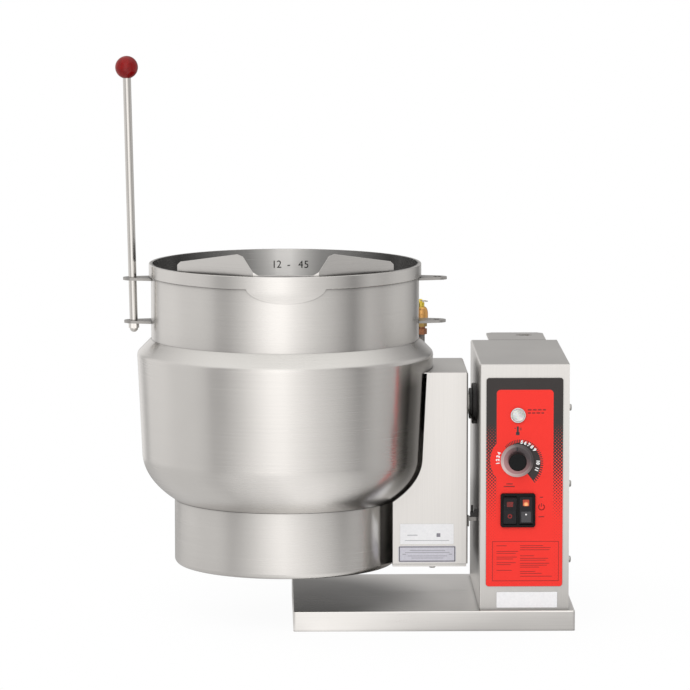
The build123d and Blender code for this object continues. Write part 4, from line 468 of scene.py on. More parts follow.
def plate(centre, wide, tall, corner, thick, turn=None):
    """Thin upright plate with rounded corners; its front faces -Y unless the matrix turns it."""
    bpy.ops.object.select_all(action="DESELECT")
    bpy.ops.mesh.primitive_plane_add(size=1.0, rotation=(math.radians(90), 0, 0))
    made = bpy.context.object
    bpy.ops.object.transform_apply(rotation=True)
    bpy.ops.object.mode_set(mode="EDIT")
    bpy.ops.mesh.select_all(action="SELECT")
    bpy.ops.transform.resize(value=(wide, 1, tall), center_override=(0, 0, 0))
    bpy.ops.mesh.bevel(offset=corner, segments=5, affect="VERTICES")
    bpy.ops.mesh.select_all(action="SELECT")
    bpy.ops.mesh.extrude_region_move(TRANSFORM_OT_translate={"value": (0, thick, 0)})
    bpy.ops.mesh.select_all(action="SELECT")
    bpy.ops.mesh.normals_make_consistent(inside=False)
    bpy.ops.object.mode_set(mode="OBJECT")
    made.data.transform(Matrix.Translation(centre) @ (turn or Matrix.Identity(4)))
    return made


# White vinyl label stock, slightly warm, with a soft sheen and a paper-fine tooth.
white_vinyl = mottled("white_vinyl_label", "#E6E6E8", "#F6F6F7", 0.35, 0.5, scale=260.0)
# Etched aluminium-look foil, cool grey.
grey_foil = mottled("etched_grey_foil", "#C2C1CB", "#DAD9E2", 0.4, 0.55, scale=480.0, Metallic=0.25)
# Screen-printed black ink, not quite even.
black_ink = mottled("screen_print_black", "#232124", "#3C3A3D", 0.4, 0.6, scale=900.0, detail=2)

LABEL_THICKNESS = 0.0002
LABEL_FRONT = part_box("pivot_housing")[0].y - LABEL_THICKNESS
WHITE_LABEL = Vector((-0.0102, LABEL_FRONT, 0.1468))
GREY_LABEL = Vector((-0.0098, LABEL_FRONT, 0.1148))
white_label = plate(WHITE_LABEL, wide=0.0844, tall=0.0322, corner=0.001, thick=LABEL_THICKNESS)
finish_piece(white_label, "white_label", white_vinyl, "kettle")
grey_label = plate(GREY_LABEL, wide=0.0904, tall=0.0258, corner=0.003, thick=LABEL_THICKNESS)
finish_piece(grey_label, "grey_label", grey_foil, "kettle")


def printed_bars(face_y, spots):
    """Flat printed bars on a front at that y, from each one's centre x and z, width and height."""
    bpy.ops.object.select_all(action="DESELECT")
    bpy.ops.mesh.primitive_plane_add(size=1.0)
    made = bpy.context.object
    bpy.ops.object.mode_set(mode="EDIT")
    bpy.ops.mesh.select_all(action="SELECT")
    bpy.ops.mesh.delete(type="VERT")
    for x, z, wide, tall in spots:
        bpy.ops.mesh.primitive_plane_add(size=1.0, location=(x, face_y, z), rotation=(math.radians(90), 0, 0))
        bpy.ops.transform.resize(value=(wide, 1, tall), center_override=(x, face_y, z))
        bpy.ops.mesh.select_all(action="DESELECT")
    bpy.ops.object.mode_set(mode="OBJECT")
    return made


def print_frame(x, z, wide, tall, line):
    """The four bars of a printed frame round a centre."""
    return [
        (x, z + tall / 2, wide + line, line),
        (x, z - tall / 2, wide + line, line),
        (x - wide / 2, z, line, tall),
        (x + wide / 2, z, line, tall),
    ]


PRINT_LIFT = 0.00005
LABEL_PRINT_Y = LABEL_FRONT - PRINT_LIFT
frame_bars = print_frame(GREY_LABEL.x, GREY_LABEL.z, wide=0.0872, tall=0.0226, line=0.0012)
label_frame = printed_bars(LABEL_PRINT_Y, frame_bars)
finish_piece(label_frame, "grey_label_frame", black_ink, "kettle")
# Hairlines stand where the small print would be; they carry no words.
grey_ink = mottled("screen_print_grey", "#77757E", "#96949C", 0.4, 0.6, scale=900.0, detail=2)
label_lines = printed_bars(LABEL_PRINT_Y, [
    (-0.0095, 0.1205, 0.056, 0.0007), (-0.0095, 0.1172, 0.070, 0.0007), (-0.0095, 0.1118, 0.062, 0.0007),
    (-0.0095, 0.1085, 0.050, 0.0007), (-0.0460, 0.1145, 0.005, 0.0009), (0.0270, 0.1145, 0.005, 0.0009),
    (-0.0330, 0.1450, 0.016, 0.0009), (0.0080, 0.1450, 0.006, 0.0060), (-0.0100, 0.1365, 0.070, 0.0006),
])
finish_piece(label_lines, "label_hairlines", grey_ink, "kettle")


# ---------------------------------------------------------------- trunnion and stop
# The kettle turns on a hardened, turned steel shaft in sintered bronze bearings, bolted
# to the housing's side. A moulded black seal and collar close the gap to the console,
# and a rubber-tipped screw stops the kettle's arm at rest.

# Lathe-turned steel keeps fine rings, dulled in patches by oil. A wave pattern of scale 1
# repeats every pi / 10, which over its pitch gives its scale.
turned_steel, tree, place = new_finish("turned_shaft_steel", Metallic=1.0)
rings = node(tree, "ShaderNodeTexWave", {"Vector": place, "Scale": 900.0, "Distortion": 0.5},
             bands_direction="X")
tint = node(tree, "ShaderNodeMix", {0: rings.outputs["Fac"], 6: linear("#A9A7A3"), 7: linear("#C4C2BE")},
            data_type="RGBA")
feed(tree, Base_Color=tint.outputs[2])
oil = node(tree, "ShaderNodeTexNoise", {"Vector": place, "Scale": 120.0, "Detail": 3.0})
dull = node(tree, "ShaderNodeMapRange", {"Value": oil.outputs["Fac"], "To Min": 0.2, "To Max": 0.38})
feed(tree, Roughness=dull.outputs[0])
dress(turned_steel, "trunnion_shaft", "shaft_collars", "thermostat_shaft")

# Moulded nitrile rubber has a soft pebbled skin.
black_moulding = mottled("moulded_black_nitrile", "#0E0D0D", "#272524", 0.22, 0.42, scale=420.0, detail=4,
                         raised=(0.2, 0.1))
dress(black_moulding, "trunnion_collar", "trunnion_seal", "stop_bumper")

# Sintered bronze is brown-gold, with oil in its open pores.
bearing_bronze, tree, place = new_finish("oiled_sintered_bronze", Metallic=1.0)
pores = node(tree, "ShaderNodeTexVoronoi", {"Vector": place, "Scale": 1600.0})
two_tone(tree, pores.outputs["Distance"], "#8A6236", "#C79A58", 0.3, 0.5)
dress(bearing_bronze, "trunnion_bearings")

# Sprayed grey machine paint with the faint skin of an orange.
frame_paint = mottled("sprayed_grey_enamel", "#6E7276", "#7F8387", 0.4, 0.52, scale=330.0, detail=2,
                      raised=(0.3, 0.2))
dress(frame_paint, "bearing_frame", "trunnion_saddle")


# ---------------------------------------------------------------- base and console
# The base is a tray of 2 mm 304 with its edges folded down. The control console is a
# folded 1.5 mm 304 shell with a screwed side cover, and a bracket for a faucet at the
# back. All are brushed along their length; a bare plate sits low on the console's front.
pan_steel = brushed_steel("brushed_304_base", "#F4F2EF", lines=(8, 700, 700), rough=0.30, spread=0.4,
                          depth=0.12, cleft=0.03, darkest_shade=1.0)
# The tray's top gets a painted reflection of the kettle's dark underside: painted shade darkens its colour
# wherever the kettle hangs over it.
TRAY_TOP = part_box("base_pan")[1].z - 0.2 * MM
UNDER_NEAR = 0.14
UNDER_FAR = 0.28
tree = pan_steel.node_tree
place = node(tree, "ShaderNodeTexCoord").outputs["Object"]
under = node(tree, "ShaderNodeMapRange", {"Value": level_reach(tree, place, VESSEL_AXIS),
             "From Min": UNDER_NEAR, "From Max": UNDER_FAR, "To Min": 0.20, "To Max": 1.0},
             interpolation_type="SMOOTHSTEP")
split = node(tree, "ShaderNodeSeparateXYZ", {0: place})
painted_shade_on_top = node(tree, "ShaderNodeMapRange", {"Value": split.outputs["Z"], "From Min": TRAY_TOP - 1 * MM,
              "From Max": TRAY_TOP, "To Min": 1.0, "To Max": under.outputs[0]})
paint_light_and_shade(pan_steel, painted_shade_on_top.outputs[0])
dress(pan_steel, "base_pan")
console_steel = brushed_steel("brushed_304_console", "#DEDCD9", lines=(700, 700, 8), rough=0.32, spread=0.3,
                              depth=0.12, cleft=0.04, darkest_shade=0.5)
dress(console_steel, "console_shell", "side_cover", "faucet_bracket")

PLATE_THICKNESS = 0.0004
NAME_PLATE = Vector((0.1454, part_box("console_shell")[0].y - PLATE_THICKNESS, 0.0485))
name_plate = plate(NAME_PLATE, wide=0.0953, tall=0.025, corner=0.001, thick=PLATE_THICKNESS)
finish_piece(name_plate, "blank_name_plate", white_vinyl, "stand")


# ---------------------------------------------------------------- control overlay
# One sheet of printed polyester covers the console's front: red, with a black border
# that breaks into halftone dots on its way down, and a black scale that widens round
# the thermostat dial.
knob_low, knob_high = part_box("dial_knob")
OVERLAY_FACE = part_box("control_overlay")[0].y
DIAL = Vector(((knob_low.x + knob_high.x) / 2, OVERLAY_FACE, (knob_low.z + knob_high.z) / 2))
overlay, tree, place = new_finish("printed_polyester_red_black", Specular_IOR_Level=0.25)
split = node(tree, "ShaderNodeSeparateXYZ", {0: place})
tooth = node(tree, "ShaderNodeTexNoise", {"Vector": place, "Scale": 800.0, "Detail": 2.0})
red = node(tree, "ShaderNodeMix", {0: tooth.outputs["Fac"], 6: linear("#EE3229"), 7: linear("#F83A31")},
           data_type="RGBA")
black = node(tree, "ShaderNodeMix", {0: tooth.outputs["Fac"], 6: linear("#332F2E"), 7: linear("#403B3A")},
             data_type="RGBA")
# The dots: two crossed waves make a diamond screen, cut at a level that rises with height.
# The real screen is finer than shows, so its pitch is wider.
DOT_PITCH = 0.0052
DOTS_BOTTOM = 0.172
DOTS_TOP = 0.335
WAVES = 2 * math.pi / DOT_PITCH
across = node(tree, "ShaderNodeMath", {0: split.outputs["X"], 1: WAVES}, operation="MULTIPLY")
upward = node(tree, "ShaderNodeMath", {0: split.outputs["Z"], 1: WAVES}, operation="MULTIPLY")
wave_x = node(tree, "ShaderNodeMath", {0: across.outputs[0]}, operation="SINE")
wave_z = node(tree, "ShaderNodeMath", {0: upward.outputs[0]}, operation="SINE")
screen = node(tree, "ShaderNodeMath", {0: wave_x.outputs[0], 1: wave_z.outputs[0]}, operation="MULTIPLY")
level = node(tree, "ShaderNodeMapRange", {"Value": split.outputs["Z"], "From Min": DOTS_BOTTOM,
             "From Max": DOTS_TOP, "To Min": -0.95, "To Max": 1.10})
excess = node(tree, "ShaderNodeMath", {0: level.outputs[0], 1: screen.outputs[0]}, operation="SUBTRACT")
dots = node(tree, "ShaderNodeMapRange", {"Value": excess.outputs[0], "From Min": -0.04, "From Max": 0.04})
# The red field inside the border: a rounded panel and a disc round the dial.
FIELD_CENTRE = (0.1414, 0.0, 0.2305)
FIELD_HALF = (0.0384, 1.0, 0.1445)
FIELD_CORNER = 0.006
BULGE_RADIUS = 0.042
INK_EDGE = 0.0002
from_centre = node(tree, "ShaderNodeVectorMath", {0: place, 1: FIELD_CENTRE}, operation="SUBTRACT")
mirrored = node(tree, "ShaderNodeVectorMath", {0: from_centre.outputs[0]}, operation="ABSOLUTE")
past = node(tree, "ShaderNodeVectorMath", {0: mirrored.outputs[0], 1: FIELD_HALF}, operation="SUBTRACT")
outside = node(tree, "ShaderNodeVectorMath", {0: past.outputs[0], 1: (0, 0, 0)}, operation="MAXIMUM")
distance = node(tree, "ShaderNodeVectorMath", {0: outside.outputs[0]}, operation="LENGTH")
beyond_field = node(tree, "ShaderNodeMapRange", {"Value": distance.outputs["Value"],
                    "From Min": FIELD_CORNER - INK_EDGE, "From Max": FIELD_CORNER + INK_EDGE})


def off_dial(tree, place):
    """Offset from the dial's axis along the panel, and its length."""
    from_dial = node(tree, "ShaderNodeVectorMath", {0: place, 1: DIAL}, operation="SUBTRACT")
    flat = node(tree, "ShaderNodeVectorMath", {0: from_dial.outputs[0], 1: (1, 0, 1)}, operation="MULTIPLY")
    length = node(tree, "ShaderNodeVectorMath", {0: flat.outputs[0]}, operation="LENGTH")
    return flat.outputs[0], length.outputs["Value"]


flat, radius = off_dial(tree, place)
beyond_bulge = node(tree, "ShaderNodeMapRange", {"Value": radius, "From Min": BULGE_RADIUS - INK_EDGE,
                    "From Max": BULGE_RADIUS + INK_EDGE})
border = node(tree, "ShaderNodeMath", {0: beyond_field.outputs[0], 1: beyond_bulge.outputs[0]},
              operation="MINIMUM")
border_dots = node(tree, "ShaderNodeMath", {0: border.outputs[0], 1: dots.outputs[0]}, operation="MULTIPLY")
# The scale: its outer edge leaves the dial clockwise, with a comb of ticks along it.
SCALE_START = math.radians(-42)
SCALE_END = math.radians(142)
BAND_SETTLED = math.radians(20)
TICK_STEP = math.radians(5)
REACH_FIRST = 0.0292
REACH_LAST = 0.0450
TICKS_FIRST = 0.0060
TICKS_LAST = 0.0042
around = node(tree, "ShaderNodeSeparateXYZ", {0: flat})
clock = node(tree, "ShaderNodeMath", {0: around.outputs["X"], 1: around.outputs["Z"]}, operation="ARCTAN2")
reach = node(tree, "ShaderNodeMapRange", {"Value": clock.outputs[0], "From Min": SCALE_START,
             "From Max": SCALE_END, "To Min": REACH_FIRST, "To Max": REACH_LAST})
band_depth = node(tree, "ShaderNodeMapRange", {"Value": clock.outputs[0], "From Min": SCALE_START,
                  "From Max": BAND_SETTLED, "To Min": TICKS_FIRST, "To Max": TICKS_LAST})
band_edge = node(tree, "ShaderNodeMath", {0: reach.outputs[0], 1: band_depth.outputs[0]},
                 operation="SUBTRACT")
in_band = node(tree, "ShaderNodeMath", {0: radius, 1: band_edge.outputs[0]}, operation="LESS_THAN")
in_reach = node(tree, "ShaderNodeMath", {0: radius, 1: reach.outputs[0]}, operation="LESS_THAN")
comb_turn = node(tree, "ShaderNodeMath", {0: clock.outputs[0], 1: 2 * math.pi / TICK_STEP},
                 operation="MULTIPLY")
comb_wave = node(tree, "ShaderNodeMath", {0: comb_turn.outputs[0]}, operation="SINE")
comb = node(tree, "ShaderNodeMath", {0: comb_wave.outputs[0], 1: 0.0}, operation="GREATER_THAN")
ticks = node(tree, "ShaderNodeMath", {0: in_reach.outputs[0], 1: comb.outputs[0]}, operation="MULTIPLY")
marks = node(tree, "ShaderNodeMath", {0: in_band.outputs[0], 1: ticks.outputs[0]}, operation="MAXIMUM")
begun = node(tree, "ShaderNodeMath", {0: clock.outputs[0], 1: SCALE_START}, operation="GREATER_THAN")
unended = node(tree, "ShaderNodeMath", {0: clock.outputs[0], 1: SCALE_END}, operation="LESS_THAN")
swept = node(tree, "ShaderNodeMath", {0: begun.outputs[0], 1: unended.outputs[0]}, operation="MULTIPLY")
scale = node(tree, "ShaderNodeMath", {0: marks.outputs[0], 1: swept.outputs[0]}, operation="MULTIPLY")
printed = node(tree, "ShaderNodeMath", {0: border_dots.outputs[0], 1: scale.outputs[0]}, operation="MAXIMUM")
ink = node(tree, "ShaderNodeMix", {0: printed.outputs[0], 6: red.outputs[2], 7: black.outputs[2]},
           data_type="RGBA")
feed(tree, Base_Color=ink.outputs[2])
dull = node(tree, "ShaderNodeMapRange", {"Value": tooth.outputs["Fac"], "To Min": 0.42, "To Max": 0.55})
feed(tree, Roughness=dull.outputs[0])
dress(overlay, "control_overlay")

# Dark red line print: stand-ins for the small text, a level icon, and a frame of rules.
OVERLAY_PRINT_Y = OVERLAY_FACE - PRINT_LIFT
dark_red_ink = mottled("screen_print_dark_red", "#7E1614", "#96201B", 0.42, 0.55, scale=900.0, detail=2)
RULES_LEFT = 0.0975
RULES_MIDDLE = 0.1345
RULE_TALL = 0.0009
WORDS_LEFT = 0.1455
WORD_TALL = 0.0022
WORD_SPACE = 0.0018
rules = print_frame(0.1430, 0.1100, wide=0.1035, tall=0.0625, line=0.0008)
for z, wide in ((0.1345, 0.016), (0.1255, 0.034), (0.1225, 0.030), (0.1165, 0.032), (0.1135, 0.026),
                (0.1075, 0.030), (0.1045, 0.022), (0.0955, 0.024)):
    rules.append((RULES_LEFT + wide / 2, z, wide, RULE_TALL))
for z, wide in ((0.1345, 0.036), (0.1315, 0.048), (0.1280, 0.046), (0.1185, 0.022), (0.1145, 0.044),
                (0.1115, 0.040), (0.1065, 0.046), (0.1035, 0.042), (0.1005, 0.030), (0.0935, 0.024),
                (0.0905, 0.034), (0.0860, 0.050)):
    rules.append((RULES_MIDDLE + wide / 2, z, wide, RULE_TALL))
for row, words in ((0.3495, (0.006, 0.006, 0.006, 0.005)), (0.3445, (0.005, 0.005, 0.006, 0.004))):
    x = WORDS_LEFT
    for wide in words:
        rules.append((x + wide / 2, row, wide, WORD_TALL))
        x += wide + WORD_SPACE
rules += [(0.1175, 0.2325, 0.010, 0.0018), (0.1170, 0.2285, 0.017, 0.0018)]
rules += [(0.1675, 0.2113, 0.005, 0.0016), (0.1675, 0.1804, 0.009, 0.0016), (0.1677, 0.1990, 0.0013, 0.0056)]
line_print = printed_bars(OVERLAY_PRINT_Y, rules)
finish_piece(line_print, "overlay_line_print", dark_red_ink, "stand")
icon = printed_bars(OVERLAY_PRINT_Y, [
    (0.1300, 0.3180, 0.0030, 0.0105), (0.1300, 0.3120, 0.0058, 0.0050), (0.1345, 0.3205, 0.0032, 0.0010),
    (0.1345, 0.3180, 0.0032, 0.0010), (0.1260, 0.3205, 0.0026, 0.0010),
])
finish_piece(icon, "overlay_level_icon", black_ink, "stand")

# The power mark: a ring left open at its top; its stroke is one of the rules.
POWER = Vector((0.1677, OVERLAY_PRINT_Y, 0.1958))
POWER_RADIUS = 0.0046
POWER_LINE = 0.0013
POWER_SWEEP = math.radians(290)
NIB = 0.00014
power_mark = printed_bars(OVERLAY_PRINT_Y, [(POWER.x, POWER.z + POWER_RADIUS, NIB, POWER_LINE)])
bpy.ops.object.mode_set(mode="EDIT")
bpy.ops.mesh.select_all(action="SELECT")
bpy.ops.mesh.spin(steps=32, angle=POWER_SWEEP, center=POWER, axis=(0, 1, 0))
bpy.ops.mesh.select_all(action="SELECT")
bpy.ops.mesh.remove_doubles(threshold=0.00001)
bpy.ops.object.mode_set(mode="OBJECT")
half_gap = (2 * math.pi - POWER_SWEEP) / 2
turn = Matrix.Rotation(-half_gap, 4, "Y")
power_mark.data.transform(Matrix.Translation(POWER) @ turn @ Matrix.Translation(-POWER))
finish_piece(power_mark, "overlay_power_mark", dark_red_ink, "stand")

# White figures round the scale, in place of its words.
white_ink = mottled("screen_print_white", "#EFEDEB", "#FBFAF9", 0.42, 0.55, scale=900.0, detail=2)
SCALE_FIGURES = (
    (-98, 0.0302, "1"), (-88, 0.0302, "2"), (-78, 0.0302, "3"), (-68, 0.0302, "4"), (14, 0.0296, "5"),
    (25, 0.0300, "6"), (36, 0.0306, "7"), (47, 0.0312, "8"), (58, 0.0318, "9"), (95, 0.0326, "10"),
    (114, 0.0336, "11"),
)
FIGURE_TALL = 0.0050
FIGURE_THICKEN = 0.0004
centre = Matrix.Translation((DIAL.x, OVERLAY_PRINT_Y - PRINT_LIFT, DIAL.z))
for degrees, out, figure in SCALE_FIGURES:
    turn = Matrix.Rotation(math.radians(degrees), 4, "Y") @ Matrix.Translation((0, 0, out))
    lettering(f"scale_figure_{figure}", figure, FIGURE_TALL, FIGURE_THICKEN, centre @ turn @ UPRIGHT,
              white_ink, "stand")


# ---------------------------------------------------------------- pilot lamp
# A round indicator: a chromed brass bezel screwed through the panel round a milky
# polycarbonate lens whose back is cut in small prisms.

# Chrome plate: nearly a mirror, with a faint haze.
chrome = mottled("chromed_brass", "#C2C2C3", "#DFDFE0", 0.1, 0.2, scale=400.0, detail=2, Metallic=1.0)
dress(chrome, "lamp_bezel", "gauge_case")

# Milky polycarbonate, grey-white and mottled by its prisms, with a painted highlight streaked across it by a
# diagonal wave.
lens, tree, place = new_finish("milky_polycarbonate_lens", Coat_Weight=0.5, Coat_Roughness=0.04,
                               Subsurface_Weight=0.3, Subsurface_Scale=0.002)
prisms = node(tree, "ShaderNodeTexVoronoi", {"Vector": place, "Scale": 420.0})
painted_glint = node(tree, "ShaderNodeTexWave", {"Vector": place, "Scale": 26.0, "Distortion": 2.0},
              bands_direction="DIAGONAL")
both = node(tree, "ShaderNodeMath", {0: prisms.outputs["Distance"], 1: painted_glint.outputs["Fac"]},
            operation="ADD")
prisms_and_glint = node(tree, "ShaderNodeMapRange", {"Value": both.outputs[0], "From Min": 0.2, "From Max": 1.5})
tint = node(tree, "ShaderNodeMix", {0: prisms_and_glint.outputs[0], 6: linear("#AEB2AE"), 7: linear("#DEDDDA")},
            data_type="RGBA")
feed(tree, Base_Color=tint.outputs[2])
polish = node(tree, "ShaderNodeMapRange", {"Value": prisms.outputs["Distance"], "To Min": 0.15,
              "To Max": 0.3})
feed(tree, Roughness=polish.outputs[0])
dress(lens, "pilot_lamp")


# ---------------------------------------------------------------- thermostat dial
# A satin anodised skirt with a clear bevelled edge turns with a black phenolic knob on
# the thermostat's shaft. A black line on the skirt points to the scale.
skirt_metal, tree, place = new_finish("satin_anodised_skirt", Metallic=0.75, Coat_Weight=0.4,
                                      Coat_Roughness=0.12)
# Painted light and shade: the pinkish grey disc and its bevelled ring are coloured darker towards the upper
# right and lighter towards the lower left, a painted reflection of the room above and the floor below.
EDGE_INNER = 0.0205
EDGE_OUTER = 0.0222
LIGHT_SLOPE_REACH = 0.022
flat, radius = off_dial(tree, place)
edge_ring = node(tree, "ShaderNodeMapRange", {"Value": radius, "From Min": EDGE_INNER,
                 "From Max": EDGE_OUTER})
rise = node(tree, "ShaderNodeSeparateXYZ", {0: flat})
slant = node(tree, "ShaderNodeMath", {0: rise.outputs["X"], 1: rise.outputs["Z"]}, operation="ADD")
painted_light_slope = node(tree, "ShaderNodeMapRange", {"Value": slant.outputs[0], "From Min": LIGHT_SLOPE_REACH,
            "From Max": -LIGHT_SLOPE_REACH})
disc_tone = node(tree, "ShaderNodeMix", {0: painted_light_slope.outputs[0], 6: linear("#4A4244"), 7: linear("#A87C7E")},
                 data_type="RGBA")
ring_tone = node(tree, "ShaderNodeMix", {0: painted_light_slope.outputs[0], 6: linear("#5F595A"), 7: linear("#DCC3C1")},
                 data_type="RGBA")
spun = node(tree, "ShaderNodeTexNoise", {"Vector": flat, "Scale": 900.0, "Detail": 2.0})
skirt_tone = node(tree, "ShaderNodeMix", {0: edge_ring.outputs[0], 6: disc_tone.outputs[2],
                  7: ring_tone.outputs[2]}, data_type="RGBA")
feed(tree, Base_Color=skirt_tone.outputs[2])
dull = node(tree, "ShaderNodeMapRange", {"Value": spun.outputs["Fac"], "To Min": 0.24, "To Max": 0.36})
feed(tree, Roughness=dull.outputs[0])
dress(skirt_metal, "dial_skirt")

# Moulded phenolic is a deep black with a dull, slightly streaked gloss.
phenolic = mottled("moulded_black_phenolic", "#0B0B0C", "#18191A", 0.3, 0.45, scale=300.0, detail=4,
                   Specular_IOR_Level=0.15)
dress(phenolic, "dial_knob", "gauge_needle")

SKIRT_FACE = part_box("dial_skirt")[0].y
POINTER_OUT = 0.0185
POINTER_WIDE = 0.0024
POINTER_LONG = 0.0066
POINTER_CORNER = 0.0009
pointer_spot = (DIAL.x, DIAL.z + POINTER_OUT, POINTER_WIDE, POINTER_LONG)
pointer = printed_bars(SKIRT_FACE - PRINT_LIFT, [pointer_spot])
bpy.ops.object.mode_set(mode="EDIT")
bpy.ops.mesh.select_all(action="SELECT")
bpy.ops.mesh.bevel(offset=POINTER_CORNER, segments=3, affect="VERTICES")
bpy.ops.object.mode_set(mode="OBJECT")
finish_piece(pointer, "dial_pointer_line", black_ink, "dial")


# ---------------------------------------------------------------- rocker switches
# Two snap-in rocker switches share one black nylon frame. The left rocker has a dark
# red window above a red ring; the right one is lit orange over a grey ribbed foot.

# Nylon from a spark-eroded mould has a fine matt grain.
nylon = mottled("spark_textured_black_nylon", "#1A191B", "#2E2D30", 0.32, 0.5, scale=700.0,
                raised=(0.15, 0.1), Specular_IOR_Level=0.18)
dress(nylon, "left_rocker", "right_rocker")
dress(phenolic, "switch_bezel", "switch_body")

# Each rocker's face is a shallow V over its pin; the rocker rests tipped one way or the other.
bezel_low, bezel_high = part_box("switch_bezel")
ROCKER_PIVOT = Vector(((bezel_low.x + bezel_high.x) / 2, -0.1603, (bezel_low.z + bezel_high.z) / 2))
ROCKER_ASIDE = 0.0126
ROCKER_TILT = 8.0
ROCKER_MIDDLE = 0.0053
ROCKER_RISE = 0.0022 / 0.0208


def on_rocker(side, along, lift):
    """Matrix that lays an upright piece on a rocker's face, at a height along it from its middle."""
    pin = ROCKER_PIVOT + Vector((side * ROCKER_ASIDE, 0, 0))
    tilt = Matrix.Rotation(math.radians(-side * ROCKER_TILT), 4, "X")
    on_face = Vector((0, -(ROCKER_MIDDLE + ROCKER_RISE * abs(along)) - lift, along))
    slope = Matrix.Rotation(math.copysign(math.atan(ROCKER_RISE), along), 4, "X")
    return Matrix.Translation(pin) @ tilt @ Matrix.Translation(on_face) @ slope


# Moulded windows: unlit dark red, lit orange with a hot middle, and mid-grey.
dark_window, tree, place = new_finish("unlit_red_window", Coat_Weight=0.4, Coat_Roughness=0.08)
cells = node(tree, "ShaderNodeTexVoronoi", {"Vector": place, "Scale": 900.0})
two_tone(tree, cells.outputs["Distance"], "#5A1412", "#8A1D19", 0.15, 0.3)
lit_window, tree, place = new_finish("lit_orange_window", Coat_Weight=0.4, Coat_Roughness=0.08,
                                     Emission_Strength=0.2)
LIT_MIDDLE = ROCKER_PIVOT + Vector((ROCKER_ASIDE, -0.0057, 0.0095))
HOT_NEAR = 0.0012
HOT_FAR = 0.0046
from_lamp = node(tree, "ShaderNodeVectorMath", {0: place, 1: LIT_MIDDLE}, operation="SUBTRACT")
away = node(tree, "ShaderNodeVectorMath", {0: from_lamp.outputs[0]}, operation="LENGTH")
hot = node(tree, "ShaderNodeMapRange", {"Value": away.outputs["Value"], "From Min": HOT_NEAR,
           "From Max": HOT_FAR})
tint = node(tree, "ShaderNodeMix", {0: hot.outputs[0], 6: linear("#FFB070"), 7: linear("#A8300F")},
            data_type="RGBA")
feed(tree, Base_Color=tint.outputs[2], Emission_Color=tint.outputs[2])
grey_nylon, tree, place = new_finish("grey_moulded_foot")
ribs = node(tree, "ShaderNodeTexWave", {"Vector": place, "Scale": 300.0}, bands_direction="Z")
two_tone(tree, ribs.outputs["Fac"], "#29282B", "#4C4B4E", 0.35, 0.5)

WINDOW_THICKNESS = 0.0003
WINDOW_CORNER = 0.0009
for name, side, along, wide, tall, material in (
    ("left_window", -1, 0.0110, 0.0098, 0.0085, dark_window),
    ("right_window", 1, 0.0110, 0.0098, 0.0100, lit_window),
    ("right_foot", 1, -0.0110, 0.0150, 0.0165, grey_nylon),
):
    turn = on_rocker(side, along, WINDOW_THICKNESS)
    window = plate(Vector(), wide, tall, WINDOW_CORNER, WINDOW_THICKNESS, turn)
    finish_piece(window, name, material, "left_switch" if side < 0 else "right_switch")

# A printed ring and dot on the lower halves.
for name, side, along, outer, inner, material in (
    ("left_ring", -1, -0.0085, 0.0036, 0.0019, dark_red_ink),
    ("right_dot", 1, -0.0072, 0.0013, 0.0, white_ink),
):
    bpy.ops.object.select_all(action="DESELECT")
    bpy.ops.mesh.primitive_circle_add(vertices=32, radius=outer, fill_type="NGON",
                                      rotation=(math.radians(90), 0, 0))
    mark = bpy.context.object
    bpy.ops.object.transform_apply(rotation=True)
    bpy.ops.object.mode_set(mode="EDIT")
    bpy.ops.mesh.select_all(action="SELECT")
    bpy.ops.mesh.inset(thickness=outer - inner if inner else outer / 2)
    if inner:
        bpy.ops.mesh.delete(type="FACE")
    bpy.ops.object.mode_set(mode="OBJECT")
    mark.data.transform(on_rocker(side, along, WINDOW_THICKNESS + 2 * PRINT_LIFT))
    finish_piece(mark, name, material, "left_switch" if side < 0 else "right_switch")


# ---------------------------------------------------------------- safety valve
# A small brass safety valve on a galvanised nipple and a bronze bushing: machined hex
# and bonnet, a knurled cap on the stem, and a wire ring to lift it by.

# Hot-dip galvanised pipe is dull grey with a faint spangle, cut by its thread.
galvanised, tree, place = new_finish("galvanised_pipe", Metallic=1.0)
spangle = node(tree, "ShaderNodeTexVoronoi", {"Vector": place, "Scale": 220.0})
threads = node(tree, "ShaderNodeTexWave", {"Vector": place, "Scale": 175.0},
               bands_direction="Z", wave_profile="TRI")
two_tone(tree, spangle.outputs["Distance"], "#7D7C7A", "#A5A4A1", 0.4, 0.55)
bump = node(tree, "ShaderNodeBump", {"Strength": 0.6, "Distance": 0.0006, "Height": threads.outputs["Fac"]})
feed(tree, Normal=bump.outputs[0])
dress(galvanised, "valve_nipple", "gauge_stem")

# Cast red bronze is rough and brown-red.
bushing_bronze = mottled("cast_red_bronze", "#6E3F28", "#C08A68", 0.25, 0.45, scale=260.0, detail=4,
                         Metallic=1.0)
dress(bushing_bronze, "valve_bushing")

# Turned brass, yellow at the cap and warmer down the bonnet, duller at the hexagon.
brass, tree, place = new_finish("turned_brass", Metallic=1.0)
BONNET_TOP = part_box("valve_body")[1].z
HEXAGON_TOP = 0.4685
split = node(tree, "ShaderNodeSeparateXYZ", {0: place})
lathe = node(tree, "ShaderNodeTexNoise", {"Vector": place, "Scale": 500.0, "Detail": 3.0})
bonnet = node(tree, "ShaderNodeMapRange", {"Value": split.outputs["Z"], "From Min": BONNET_TOP - 2 * MM,
              "From Max": BONNET_TOP + 2 * MM})
warm = node(tree, "ShaderNodeMix", {0: bonnet.outputs[0], 6: linear("#F6BC74"), 7: linear("#F7DE5E")},
            data_type="RGBA")
hexagon = node(tree, "ShaderNodeMapRange", {"Value": split.outputs["Z"], "From Min": HEXAGON_TOP,
               "From Max": HEXAGON_TOP + 1.5 * MM})
lower = node(tree, "ShaderNodeMix", {0: hexagon.outputs[0], 6: linear("#A58A54"), 7: warm.outputs[2]},
             data_type="RGBA")
